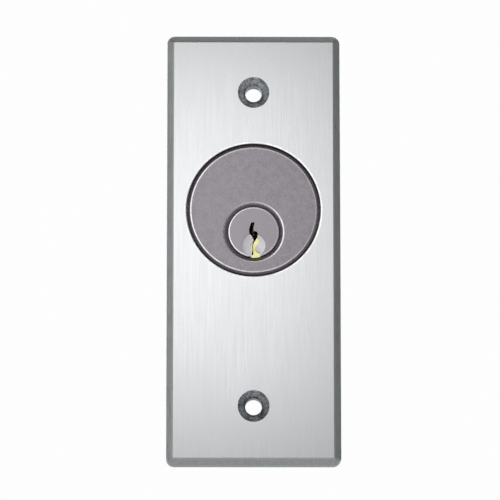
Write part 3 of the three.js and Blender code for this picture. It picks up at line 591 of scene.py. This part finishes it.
def countersink(z, material):
    """The cutter for a countersunk screw hole, with the chatter rings of the drill."""
    hole = 2.2 * MM
    sink = 4.1 * MM
    depth = sink - hole
    rings = 9
    ring_height = 0.035 * MM
    profile = [(0, PLATE_FRONT - MM), (sink + 0.9 * MM, PLATE_FRONT - MM),
               (sink + 0.12 * MM, PLATE_FRONT - 0.1 * MM)]
    for i in range(rings * 2 + 1):
        share = i / (rings * 2)
        ripple = ring_height if i % 2 else 0
        profile.append((sink - depth * share + ripple, PLATE_FRONT + depth * share + 0.08 * MM))
    profile += [(hole, PLATE_BACK + MM), (0, PLATE_BACK + MM)]
    return turned(profile, (0, 0, z), steps=64, edge=0, material=material)


def cylinder_well():
    """The cutter for the stepped hole that the key cylinder sits in."""
    well = HEAD_RADIUS + 0.22 * MM
    edge_break = 0.55 * MM
    floor = HEAD_BACK + 0.3 * MM
    bore = BODY_RADIUS + 0.3 * MM
    profile = [
        (0, PLATE_FRONT - MM), (well + edge_break + 0.5 * MM, PLATE_FRONT - MM),
        (well + edge_break, PLATE_FRONT - 0.01 * MM), (well + 0.06 * MM, PLATE_FRONT + 0.08 * MM),
        (well, PLATE_FRONT + 0.2 * MM), (well, floor),
        (bore, floor), (bore, PLATE_BACK + MM), (0, PLATE_BACK + MM)]
    centre = (CYLINDER_AXIS.x, 0, CYLINDER_AXIS.z)
    return turned(profile, centre, steps=128, edge=0.015 * MM, material=BORE_FACE)


def make_faceplate():
    lo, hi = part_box("faceplate")
    bm = block(lo, hi)
    upright = [e for e in bm.edges if abs((e.verts[0].co - e.verts[1].co).y) > MM]
    round_edges(bm, CORNER_RADIUS, segments=10, chosen=upright)
    front = [f for f in bm.faces if f.normal.y < -0.9]
    bmesh.ops.inset_region(
        bm, faces=front, thickness=BEVEL_WIDTH, use_even_offset=True, use_boundary=True)
    inner = {v for f in front for v in f.verts}
    border = [v for v in bm.verts if v.co.y < PLATE_FRONT + 0.01 * MM and v not in inner]
    bmesh.ops.translate(bm, verts=border, vec=(0, BEVEL_DEPTH, 0))
    bm.normal_update()
    for face in bm.faces:
        slanted = -0.95 < face.normal.y < -0.2
        face.material_index = BEVEL_FACE if slanted or abs(face.normal.y) < 0.1 else 0
    limit = math.radians(20)
    rims = [e for e in bm.edges if e.calc_face_angle(0) > limit
            and abs((e.verts[0].co - e.verts[1].co).y) < 0.1 * MM]
    round_edges(bm, RIM_ROUNDING, segments=3, chosen=rims)
    # Rounded rim faces tilted between about 10 and 37 degrees get the lighter edge finish: painted
    # highlight.
    for face in bm.faces:
        on_rim = face.calc_center_median().y < PLATE_FRONT + 0.2 * MM
        if on_rim and -0.985 < face.normal.y < -0.8:
            face.material_index = RIM_HIGHLIGHT_FACE
    tapped = [
        turned([(0, BRACKET_SCREW_HOLE_END), (BRACKET_SCREW_HOLE, BRACKET_SCREW_HOLE_END),
                (BRACKET_SCREW_HOLE, MM), (0, MM)],
               (middle(f"bracket_screw_{i}").x, 0, middle(f"bracket_screw_{i}").z),
               steps=20, edge=0, material=BORE_FACE)
        for i in (1, 2)]
    materials = [SATIN_PLATE, PLATE_BEVEL, WELL_WALL,
                 COUNTERSINK_MATERIALS["upper"], COUNTERSINK_MATERIALS["lower"], RIM_PAINTED_HIGHLIGHT,
                 EDGE_PAINTED_HIGHLIGHT]
    bm = carve(
        bm, materials, cylinder_well(), countersink(SCREW_LEVEL, UPPER_SINK),
        countersink(-SCREW_LEVEL, LOWER_SINK), *tapped)
    # The well's edge break and the top of its wall get the lighter rim finish: painted highlight.
    for face in bm.faces:
        at = face.calc_center_median()
        radius = math.hypot(at.x, at.z - CYLINDER_AXIS.z)
        near_front = at.y < PLATE_FRONT + 0.5 * MM
        if face.material_index == BORE_FACE and near_front and radius > HEAD_RADIUS:
            face.material_index = WELL_RIM
    return finish(
        bm, "face_plate", materials, ["faceplate"], "plate", smooth=28,
        even=True)


# ------------------------------------------------------------------ key cylinder

def make_cylinder_shell():
    lo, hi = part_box("cylinder_shell")
    back = hi.y
    chamfer = 0.75 * MM
    lip_width = 0.30 * MM
    end_chamfer = 0.8 * MM
    pitch = 0.794 * MM
    thread_depth = 0.42 * MM
    body, recess, lip, chamber_wall, cone = range(1, 6)
    profile = [
        (0, lo.y), (HEAD_RADIUS - chamfer - lip_width, lo.y),
        (HEAD_RADIUS - chamfer, lo.y + 0.03 * MM), (HEAD_RADIUS, lo.y + chamfer),
        (HEAD_RADIUS, HEAD_BACK), (BODY_RADIUS, HEAD_BACK)]
    shank = shank_points(BODY_RADIUS, HEAD_BACK, back - end_chamfer, pitch)
    end = [(BODY_RADIUS, back - end_chamfer), (BODY_RADIUS - end_chamfer, back), (0, back)]
    centre = (CYLINDER_AXIS.x, 0, CYLINDER_AXIS.z)
    bm = turned(profile + shank + end, centre, steps=128, edge=0.04 * MM)
    cut_thread(
        bm, centre, HEAD_BACK + 0.3 * MM, back - 0.3 * MM, BODY_RADIUS, pitch, thread_depth)
    # Painted shade and highlight: the head's chamfer and side wall get the darker recess finish, and
    # the narrow band just inside the chamfer gets the lighter rim finish.
    for face in bm.faces:
        at = face.calc_center_median()
        radius = math.hypot(at.x - centre[0], at.z - centre[2])
        if at.y > HEAD_BACK - 0.2 * MM:
            face.material_index = body
        elif radius > HEAD_RADIUS - chamfer - 0.02 * MM:
            face.material_index = recess
        elif radius > HEAD_RADIUS - chamfer - 0.32 * MM:
            face.material_index = lip
    axis = (PLUG_AXIS.x, 0, PLUG_AXIS.z)
    gap = 0.15 * MM
    flange = PLUG_FACE_RADIUS + gap
    flange_floor = lo.y + 2.1 * MM
    mouth = 7.7 * MM
    # The plug well's walls take the darker recess finish: painted shade.
    well = turned([
        (0, lo.y - MM), (mouth + 0.9 * MM, lo.y - MM), (mouth + 0.45 * MM, lo.y - 0.005 * MM),
        (mouth + 0.03 * MM, lo.y + 0.05 * MM), (mouth, lo.y + 0.14 * MM),
        (flange, lo.y + 0.95 * MM), (flange, flange_floor),
        (PLUG_RADIUS + gap, flange_floor), (PLUG_RADIUS + gap, back + MM),
        (0, back + MM)], axis, steps=96, edge=0.05 * MM, material=recess)
    cover_low = low("chamber_cover")
    chamber_top = cover_low.z + 0.1 * MM
    chambers = [
        turned([(0, PLUG_AXIS.z), (CHAMBER_RADIUS, PLUG_AXIS.z), (CHAMBER_RADIUS, chamber_top),
                (0, chamber_top)], (p.x, p.y, 0), axis="Z", steps=24, edge=0,
               material=chamber_wall)
        for p in PIN_PLACES]
    around_cover = Vector((0.15, 0.15, 0)) * MM
    above_cover = Vector((0, 0, 5 * MM))
    slot = block(
        cover_low - around_cover, high("chamber_cover") + around_cover + above_cover,
        material=body)
    materials = [
        HEAD_PLATING, BODY_PLATING, RECESS_PAINTED_SHADE, RIM_PAINTED_HIGHLIGHT, MACHINED_BRASS, PLUG_WELL_FACE]
    bm = carve(bm, materials, well, slot, *chambers)
    # The band at the plug well's mouth gets the lighter rim finish (painted highlight); the rest of
    # its front cone gets the plated well face.
    for face in bm.faces:
        at = face.calc_center_median()
        radius = math.hypot(at.x - axis[0], at.z - axis[2])
        if face.material_index == recess and at.y < lo.y + 0.8 * MM and radius < 9 * MM:
            face.material_index = lip if at.y < lo.y + 0.16 * MM else cone
    return finish(
        bm, "cylinder_body", materials, ["cylinder_shell"], "plate", smooth=30,
        even=True)


def keyway_outline():
    """The crooked slot seen on the plug's face, about the plug's axis, in millimetres."""
    return [
        (0.25, 2.6), (0.15, 1.7), (-0.05, 1.2), (-0.05, 0.35), (0.95, 0.05), (1.12, -0.5),
        (1.02, -1.2), (1.37, -1.9), (1.37, -2.85), (0.4, -3.9), (0.4, -4.6), (0.95, -5.15),
        (1.75, -5.4), (1.75, -8), (-0.65, -8), (-0.65, -4.9), (-0.8, -3.5), (-0.05, -2.2),
        (-0.4, -1.15), (-1.1, -0.4), (-1.2, 0.75), (-0.65, 2.5)]


def deep_slot_outline():
    """The part of the keyway that runs on past the wards: its upper limb and a thin lower gap."""
    return [
        (0.25, 2.6), (0.15, 1.7), (-0.05, 1.2), (-0.05, 0.35), (0.95, 0.05), (1.12, -0.5),
        (1.02, -1.2), (0.6, -1.9), (0.1, -2.6), (-0.12, -3.6), (-0.05, -4.7), (-0.1, -5.4),
        (-0.05, -5.9), (-0.5, -5.95), (-0.45, -5.3), (-0.28, -4.7), (-0.32, -3.6),
        (-0.15, -2.5), (0.05, -2.0), (-0.4, -1.15), (-1.1, -0.4), (-1.2, 0.75), (-0.65, 2.5)]


def around_plug(outline):
    return [(PLUG_AXIS.x + a * MM, PLUG_AXIS.z + b * MM) for a, b in outline]


def make_plug():
    lo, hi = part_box("plug")
    axis = (PLUG_AXIS.x, 0, PLUG_AXIS.z)
    flange_back = lo.y + 1.8 * MM
    stop_radius = 3.15 * MM
    stop_floor = lo.y + 0.45 * MM
    ward_depth = 1.35 * MM
    chamber_floor = axis[2] - 2.72 * MM
    chamber_top = axis[2] + 8 * MM
    screw_hole = 1.35 * MM
    screw_hole_end = hi.y - 5.2 * MM
    brass, lip, stop_face, bright, shadow = range(1, 6)
    bm = turned([
        (0, lo.y), (PLUG_FACE_RADIUS - 0.34 * MM, lo.y),
        (PLUG_FACE_RADIUS - 0.08 * MM, lo.y + 0.03 * MM), (PLUG_FACE_RADIUS, lo.y + 0.14 * MM),
        (PLUG_FACE_RADIUS, flange_back), (PLUG_RADIUS, flange_back), (PLUG_RADIUS, hi.y),
        (0, hi.y)], axis, steps=96, edge=0.04 * MM)
    # The band round the edge of the plug face gets the lighter rim finish: painted highlight.
    for face in bm.faces:
        at = face.calc_center_median()
        radius = math.hypot(at.x - axis[0], at.z - axis[2])
        if at.y > flange_back - 0.1 * MM:
            face.material_index = brass
        elif at.y < lo.y + 0.16 * MM and radius > PLUG_FACE_RADIUS - 0.36 * MM:
            face.material_index = lip
    stop_centre = (axis[0], 0, axis[2] - 3.5 * MM)
    key_stop = turned([
        (0, lo.y - MM), (3.3 * MM, lo.y - MM), (stop_radius, lo.y + 0.08 * MM),
        (stop_radius, stop_floor), (0, stop_floor)], stop_centre, steps=64,
        edge=0.05 * MM, material=stop_face)
    mouth = prism(around_plug(keyway_outline()), lo.y - MM, lo.y + ward_depth, bright)
    # The deep slot is given the dark brass: painted shade.
    deep = prism(around_plug(deep_slot_outline()), lo.y - 2 * MM, hi.y + MM, shadow)
    chambers = [
        turned([(0, chamber_floor), (CHAMBER_RADIUS, chamber_floor),
                (CHAMBER_RADIUS, chamber_top), (0, chamber_top)],
               (p.x, p.y, 0), axis="Z", steps=24, edge=0, material=brass)
        for p in PIN_PLACES]
    tapped = [
        turned([(0, screw_hole_end), (screw_hole, screw_hole_end), (screw_hole, hi.y + MM),
                (0, hi.y + MM)], (middle(f"cam_screw_{i}").x, 0, middle(f"cam_screw_{i}").z),
               steps=20, edge=0, material=brass)
        for i in (1, 2)]
    materials = [PLUG_PLATING, MACHINED_BRASS, RIM_PAINTED_HIGHLIGHT, KEY_STOP_FACE, BARE_BRASS, KEYWAY_DARK]
    bm = carve(bm, materials, key_stop, mouth, deep, *chambers, *tapped)
    # The upper walls of the keyway mouth are given the dark brass too: painted shade.
    for face in bm.faces:
        at = face.calc_center_median()
        if face.material_index == bright and at.z > axis[2] - 1.5 * MM:
            face.material_index = shadow
    return finish(
        bm, "key_plug_core", materials, ["plug"], "key_plug", smooth=30,
        even=True)


def make_pins():
    """Pointed bottom pins, and driver pins of which the even ones have a waist."""
    chamfer = 0.3 * MM
    waist_depth = 0.4 * MM
    for i in PIN_NUMBERS:
        for kind in ("bottom", "driver"):
            name = f"{kind}_pin_{i}"
            lo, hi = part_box(name)
            radius = size(name).x / 2
            tip = [(0, lo.z), (0.35 * MM, lo.z), (radius, lo.z + 1.0 * MM)]
            foot = [(0, lo.z), (radius - chamfer, lo.z), (radius, lo.z + chamfer)]
            crown = [(radius, hi.z - chamfer), (radius - chamfer, hi.z), (0, hi.z)]
            waist = [(radius, lo.z + 1.9 * MM), (radius - waist_depth, lo.z + 2.2 * MM),
                     (radius - waist_depth, hi.z - 1.6 * MM), (radius, hi.z - 1.3 * MM)]
            start = tip if kind == "bottom" else foot
            shaped = start + (waist if kind == "driver" and i % 2 == 0 else []) + crown
            bm = turned(shaped, (middle(name).x, middle(name).y, 0), axis="Z", steps=28,
                        edge=0.1 * MM)
            finish(bm, f"{name}_turned", [MACHINED_BRASS], [name], f"{kind}_{i}")


def coil(centre, bottom, top, radius, wire, turns):
    """A closed-ended compression spring: a wire circle swept up a helix."""
    bm = bmesh.new()
    steps = 20
    ring = bmesh.ops.create_circle(bm, cap_ends=True, radius=wire / 2, segments=8)
    bmesh.ops.rotate(bm, verts=ring["verts"], matrix=Matrix.Rotation(math.pi / 2, 3, "X"))
    bmesh.ops.translate(
        bm, verts=ring["verts"],
        vec=(centre[0] + radius - wire / 2, centre[1], bottom + wire / 2))
    geom = list(bm.verts) + list(bm.edges) + list(bm.faces)
    rise = (top - bottom - wire) / (turns * steps)
    bmesh.ops.spin(
        bm, geom=geom, cent=(centre[0], centre[1], 0), axis=(0, 0, 1), dvec=(0, 0, rise),
        angle=FULL_TURN * turns, steps=turns * steps, use_merge=False)
    bmesh.ops.remove_doubles(bm, verts=bm.verts, dist=1e-7)
    open_edges = [e for e in bm.edges if e.is_boundary]
    if open_edges:
        bmesh.ops.holes_fill(bm, edges=open_edges, sides=0)
    return bm


def make_springs():
    wire = 0.32 * MM
    turns = 7
    for i in PIN_NUMBERS:
        name = f"pin_spring_{i}"
        lo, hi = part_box(name)
        bm = coil(middle(name), lo.z, hi.z, size(name).x / 2, wire, turns)
        finish(bm, f"pin_spring_{i}_coil", [DRAWN_STEEL], [name], "plate")


# ------------------------------------------------------------------ pieces kept from their CAD outline

def from_cad(name, edge, materials, body, segments=2):
    """A merged copy of a CAD node with its flat faces made whole and its sharp edges rounded."""
    bm = merged_copy(name)
    round_edges(bm, edge, segments=segments)
    return finish(bm, f"{name}_finished", materials, [name], body, even=True)


def merged_copy(name):
    bm = bmesh.new()
    bm.from_mesh(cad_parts[name].data)
    bmesh.ops.remove_doubles(bm, verts=bm.verts, dist=2e-6)
    bmesh.ops.dissolve_limit(
        bm, angle_limit=math.radians(1.5), verts=bm.verts, edges=bm.edges)
    for face in bm.faces:
        face.material_index = 0
    return bm


# ------------------------------------------------------------------ fasteners

def screw(name, head_at_front, head_height, shank_radius, pitch, body):
    """A slotted pan-head machine screw along Y in place of a plain one."""
    point = 0.3 * MM
    half_slot = 0.32 * MM
    lo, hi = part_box(name)
    centre = (middle(name).x, 0, middle(name).z)
    head_radius = size(name).x / 2
    length = hi.y - lo.y
    pan = [(0, 0), (head_radius * 0.62, 0), (head_radius * 0.9, head_height * 0.28),
           (head_radius, head_height * 0.62), (head_radius, head_height),
           (shank_radius, head_height)]
    shank = shank_points(shank_radius, head_height, length - point, pitch, rings=8)
    end = [(shank_radius, length - point), (shank_radius - point, length), (0, length)]
    bm = turned(pan + shank + end, (0, 0, 0), steps=40, edge=0.06 * MM)
    cut_thread(bm, (0, 0, 0), head_height + 0.2 * MM, length, shank_radius, pitch, pitch * 0.45)
    reach = head_radius + MM
    slot_cutter = block((-reach, -MM, -half_slot), (reach, head_height * 0.5, half_slot))
    bm = carve(bm, [ZINC], slot_cutter)
    if not head_at_front:
        bmesh.ops.rotate(bm, verts=bm.verts, matrix=Matrix.Rotation(math.pi, 3, "Z"))
    twist = random.uniform(0, math.pi)
    bmesh.ops.rotate(bm, verts=bm.verts, matrix=Matrix.Rotation(twist, 3, "Y"))
    start = lo.y if head_at_front else hi.y
    bmesh.ops.translate(bm, verts=bm.verts, vec=(centre[0], start, centre[2]))
    return finish(bm, f"{name}_slotted", [ZINC], [name], body)


def nut(name, bore, body):
    """A hexagon nut with turned corners on its outer face."""
    lo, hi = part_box(name)
    centre = middle(name)
    corner = size(name).z / 2
    bm = bmesh.new()
    bmesh.ops.create_cone(
        bm, cap_ends=True, segments=6, radius1=corner, radius2=corner, depth=hi.y - lo.y)
    bmesh.ops.rotate(bm, verts=bm.verts, matrix=Matrix.Rotation(math.pi / 2, 3, "X"))
    bmesh.ops.translate(bm, verts=bm.verts, vec=centre)
    beyond = corner * 1.2
    cap = corner * 0.875
    dome = turned([
        (0, lo.y - MM), (beyond, lo.y - MM), (beyond, hi.y - 0.55 * MM), (cap, hi.y), (0, hi.y)],
        (centre.x, 0, centre.z), steps=48, edge=0)
    bm = carve(bm, [ZINC], dome, operation="INTERSECT")
    sink = bore + 0.35 * MM
    countersunk = turned([
        (0, lo.y - MM), (bore, lo.y - MM), (bore, hi.y - 0.3 * MM), (sink, hi.y + 0.05 * MM),
        (sink, hi.y + MM), (0, hi.y + MM)], (centre.x, 0, centre.z), steps=32, edge=0)
    bm = carve(bm, [ZINC], countersunk)
    round_edges(bm, 0.05 * MM, sharper_than=40)
    return finish(bm, f"{name}_hexagon", [ZINC], [name], body)


def make_ring_nut():
    """A ring with a chamfered bore and four notches for a spanner in its rim."""
    half_notch = 1.5 * MM
    notch_depth = 1.1 * MM
    chamfer = 0.35 * MM
    lo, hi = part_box("ring_nut")
    centre = (middle("ring_nut").x, 0, middle("ring_nut").z)
    outer = size("ring_nut").z / 2
    bore = BODY_RADIUS + 0.15 * MM
    bm = turned([
        (bore, lo.y), (outer, lo.y), (outer, hi.y), (bore + chamfer, hi.y),
        (bore, hi.y - chamfer), (bore, lo.y)], centre, steps=128, edge=0.3 * MM)
    cutters = []
    for i in range(4):
        notch = block(
            (-half_notch, 1.2 * MM, outer - notch_depth), (half_notch, hi.y + MM, outer + MM))
        turn = Matrix.Rotation(math.radians(45 + 90 * i), 3, "Y")
        bmesh.ops.rotate(notch, verts=notch.verts, matrix=turn)
        bmesh.ops.translate(notch, verts=notch.verts, vec=(centre[0], 0, centre[2]))
        cutters.append(notch)
    bm = carve(bm, [ZINC], *cutters)
    return finish(
        bm, "ring_nut_notched", [ZINC], ["ring_nut"], "plate", even=True)


# ------------------------------------------------------------------ cam, paddle and pin

def make_paddle_piece():
    """A leaf with its edge rolled into a hinge barrel round the pin."""
    leaf_top = high("front_switch_plunger").z + 1.1 * MM
    leaf_thickness = 1.0 * MM
    half_seam = 0.09 * MM
    seam_angle = math.radians(38) + math.pi / 2
    lo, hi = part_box("paddle")
    pin = middle("paddle_pin")
    outer = pin.x - lo.x
    bore = 1.35 * MM
    leaf = block((pin.x, lo.y, leaf_top - leaf_thickness), (hi.x, hi.y, leaf_top))
    barrel = turned([
        (0, lo.y), (outer, lo.y), (outer, hi.y), (0, hi.y)], (pin.x, 0, pin.z), steps=48,
        edge=0.12 * MM)
    bm = carve(leaf, [DRAWN_STEEL], barrel, operation="UNION")
    hole = turned([
        (0, lo.y - MM), (bore, lo.y - MM), (bore, hi.y + MM), (0, hi.y + MM)],
        (pin.x, 0, pin.z), steps=40, edge=0)
    seam = block((0, lo.y - MM, -half_seam), (outer + MM, hi.y + MM, half_seam))
    bmesh.ops.rotate(seam, verts=seam.verts, matrix=Matrix.Rotation(seam_angle, 3, "Y"))
    bmesh.ops.translate(seam, verts=seam.verts, vec=(pin.x, 0, pin.z))
    bm = carve(bm, [DRAWN_STEEL], hole, seam)
    round_edges(bm, 0.12 * MM, sharper_than=50)
    return finish(
        bm, "paddle_rolled_leaf", [DRAWN_STEEL], ["paddle"], "paddle", even=True)


def make_paddle_pin():
    lo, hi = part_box("paddle_pin")
    radius = 1.2 * MM
    groove = radius - 0.3 * MM
    head = size("paddle_pin").x / 2
    clip_lo, clip_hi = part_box("pin_clip")
    gap = 0.15 * MM
    bm = turned([
        (0, lo.y), (radius - 0.2 * MM, lo.y), (radius, lo.y + 0.2 * MM),
        (radius, clip_lo.y - gap), (groove, clip_lo.y - gap),
        (groove, clip_hi.y + gap), (radius, clip_hi.y + gap), (radius, hi.y - MM),
        (head, hi.y - MM), (head, hi.y - 0.35 * MM), (head - 0.5 * MM, hi.y), (0, hi.y)],
        (middle("paddle_pin").x, 0, middle("paddle_pin").z), steps=48, edge=0.06 * MM)
    return finish(
        bm, "paddle_pin_turned", [DRAWN_STEEL], ["paddle_pin"], "plate")


def make_pin_clip():
    """An open spring clip: a ring with a mouth and two relief scallops."""
    lo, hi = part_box("pin_clip")
    pin = middle("paddle_pin")
    outer = size("pin_clip").x / 2
    grip = 1.05 * MM
    half_mouth = grip * 0.8
    scallop = 0.42 * MM
    centre = (pin.x, 0, pin.z)
    bm = turned([(0, lo.y), (outer, lo.y), (outer, hi.y), (0, hi.y)], centre, steps=48,
                edge=0.06 * MM)
    hole = turned([(0, lo.y - MM), (grip, lo.y - MM), (grip, hi.y + MM), (0, hi.y + MM)],
                  centre, steps=32, edge=0)
    mouth = block(
        (pin.x - half_mouth, lo.y - MM, pin.z), (pin.x + half_mouth, hi.y + MM, pin.z + 4 * MM))
    scallops = [
        turned([(0, lo.y - MM), (scallop, lo.y - MM), (scallop, hi.y + MM), (0, hi.y + MM)],
               (pin.x + side * 1.15 * MM, 0, pin.z - 0.55 * MM), steps=20, edge=0)
        for side in (-1, 1)]
    bm = carve(bm, [DRAWN_STEEL], hole, mouth, *scallops)
    return finish(bm, "pin_clip_open", [DRAWN_STEEL], ["pin_clip"], "plate")


# ------------------------------------------------------------------ snap-action switches

def make_switch_cover(name):
    """The cover, with a sunk panel and a moulder's round witness mark."""
    margin = 1.1 * MM
    panel_depth = 0.25 * MM
    mark_radius = 0.9 * MM
    mark_depth = 0.15 * MM
    node = f"{name}_cover"
    lo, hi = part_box(node)
    bm = merged_copy(node)
    round_edges(bm, 0.12 * MM)
    screw_level = middle("switch_screw_1").z
    panel = block(
        (lo.x + margin, lo.y - MM, screw_level + 2.6 * MM),
        (hi.x - margin, lo.y + panel_depth, hi.z - margin), edge=0.2 * MM)
    mark = turned([
        (0, lo.y - MM), (mark_radius, lo.y - MM), (mark_radius, lo.y + mark_depth),
        (0, lo.y + mark_depth)], (middle(node).x, 0, screw_level), steps=24, edge=0)
    bm = carve(bm, [PHENOLIC], panel, mark)
    return finish(
        bm, f"{node}_moulded", [PHENOLIC], [node], "plate", even=True)


def make_plunger(name, body):
    node = f"{name}_plunger"
    lo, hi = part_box(node)
    foot = size(node).x / 2
    foot_top = lo.z + 1.3 * MM
    radius = foot - 0.4 * MM
    centre = (middle(node).x, middle(node).y, 0)
    bm = turned([
        (0, lo.z), (foot, lo.z), (foot, foot_top), (radius, foot_top),
        (radius, hi.z - 0.4 * MM), (radius * 0.6, hi.z - 0.05 * MM), (0, hi.z)],
        centre, axis="Z", steps=32, edge=0.12 * MM)
    return finish(bm, f"{node}_button", [RED_PLASTIC], [node], body)


def make_switches():
    for side in ("front", "rear"):
        name = f"{side}_switch"
        from_cad(f"{name}_case", 0.15 * MM, [PHENOLIC], "plate")
        make_switch_cover(name)
        make_plunger(name, f"{side}_plunger")
        from_cad(f"{name}_contact_blade", 0.04 * MM, [MACHINED_BRASS], f"{side}_blade")
        for kind in ("common", "open", "closed"):
            from_cad(f"{name}_{kind}_terminal", 0.06 * MM, [TINNED], "plate")


# ------------------------------------------------------------------ light, floor and camera

def make_world():
    """A white surround for the eye, and a soft studio with dark sides for what metal mirrors."""
    world = bpy.data.worlds.new("studio")
    scene.world = world
    world.use_nodes = True
    tree = world.node_tree
    tree.nodes.clear()
    output = place(tree, "ShaderNodeOutputWorld")
    where = place(tree, "ShaderNodeTexCoord")
    tone = None
    # direction, cosine where the lobe starts, cosine where it is full, strength
    lobes = (
        ((-0.12, -1.0, 0.12), 0.80, 0.98, 0.34),
        ((-0.95, -0.20, 0.1), 0.6, 1.0, 0.26),
        ((0.95, -0.20, 0.1), 0.6, 1.0, 0.13),
        ((0.0, -0.10, 0.95), 0.6, 1.0, 0.07),
        ((0.0, -0.30, -0.95), 0.6, 1.0, 0.18),
        ((0.0, 0.9, 0.4), 0.2, 1.0, 0.6),
    )
    for direction, edge, core, strength in lobes:
        unit = Vector(direction).normalized()
        toward = place(tree, "ShaderNodeVectorMath", {
            0: where.outputs["Generated"], 1: unit}, operation="DOT_PRODUCT")
        lobe = place(tree, "ShaderNodeMapRange", {
            "Value": toward.outputs["Value"], "From Min": edge, "From Max": core,
            "To Min": 0.0, "To Max": strength}, interpolation_type="SMOOTHERSTEP")
        if tone is None:
            tone = lobe.outputs[0]
        else:
            tone = place(tree, "ShaderNodeMath", {
                0: tone, 1: lobe.outputs[0]}, operation="ADD").outputs[0]
    even_light = 0.10
    base = place(tree, "ShaderNodeMath", {0: tone, 1: even_light}, operation="ADD")
    studio = place(tree, "ShaderNodeBackground", {
        "Color": (0.985, 0.985, 1.0, 1), "Strength": base.outputs[0]})
    seen = place(tree, "ShaderNodeBackground", {
        "Color": (0.985, 0.985, 0.985, 1), "Strength": 1.0})
    path = place(tree, "ShaderNodeLightPath")
    chosen = place(tree, "ShaderNodeMixShader", {
        0: path.outputs["Is Camera Ray"], 1: studio.outputs[0], 2: seen.outputs[0]})
    tree.links.new(chosen.outputs[0], output.inputs[0])


def softbox(name, at, aim, width, height, power):
    light = bpy.data.lights.new(name, "AREA")
    light.shape = "RECTANGLE"
    light.size = width
    light.size_y = height
    light.energy = power
    lamp = bpy.data.objects.new(name, light)
    scene.collection.objects.link(lamp)
    lamp.location = at
    lamp.rotation_euler = (Vector(aim) - Vector(at)).to_track_quat("-Z", "Y").to_euler()
    lamp.visible_camera = False


def make_lights():
    softbox("front_box", (-0.033, -0.20, 0.036), (0, 0, 0.015), 0.135, 0.12, 0.064)
    softbox("left_box", (-0.55, -0.25, 0.05), (0, 0, 0), 0.25, 0.5, 0.07)
    softbox("back_box", (0.3, 0.6, 0.4), (0, 0, 0), 0.5, 0.5, 1.6)
    softbox("back_fill", (-0.5, 0.45, 0.0), (0, 0, 0), 0.4, 0.4, 0.8)


def make_floor():
    reach = 3.0
    level = -0.27
    bm = bmesh.new()
    bmesh.ops.create_grid(bm, x_segments=2, y_segments=2, size=reach)
    bmesh.ops.translate(bm, verts=bm.verts, vec=(0, 0, level))
    made, tree, shader, vector = start_material("pale_floor")
    cloud = use_group(tree, MOTTLE, vector, Scale=3.0)
    tree.links.new(
        tone_between(tree, cloud.outputs["Cloud"], (0.84, 0.84, 0.84), (0.87, 0.87, 0.87)),
        shader.inputs["Base Color"])
    shader.inputs["Roughness"].default_value = 0.9
    as_object(bm, "floor", [made])


def make_camera():
    tilt = math.radians(8.82)
    pan = math.radians(0.43)
    camera = bpy.data.objects.new("camera", bpy.data.cameras.new("camera"))
    camera.data.lens = 234.0
    camera.data.sensor_width = 36
    camera.data.clip_start = 0.02
    camera.location = (-0.00727, -0.8498, -0.1314)
    camera.rotation_euler = Euler((math.pi / 2 + tilt, 0, -pan))
    scene.collection.objects.link(camera)
    scene.camera = camera


make_camera()
scene.view_settings.view_transform = "Standard"
make_world()
make_lights()
make_floor()

make_faceplate()
make_cylinder_shell()
make_plug()
make_pins()
make_springs()
from_cad("chamber_cover", 0.15 * MM, [MACHINED_BRASS], "plate")
make_ring_nut()
from_cad("cam", 0.25 * MM, [ZINC], "key_plug", segments=3)
for number in (1, 2):
    screw(f"cam_screw_{number}", False, 1.4 * MM, 1.2 * MM, 0.45 * MM, "key_plug")
    screw(f"bracket_screw_{number}", False, 1.7 * MM, 1.4 * MM, 0.6 * MM, "plate")
    screw(f"switch_screw_{number}", True, 1.3 * MM, 1.05 * MM, 0.45 * MM, "plate")
    nut(f"switch_nut_{number}", 1.2 * MM, "plate")
from_cad("switch_bracket", 0.2 * MM, [BRACKET_ZINC], "plate")
make_switches()
for card in ("middle_card", "rear_card"):
    from_cad(card, 0.05 * MM, [FISH_PAPER], "plate", segments=1)
make_paddle_piece()
make_paddle_pin()
make_pin_clip()
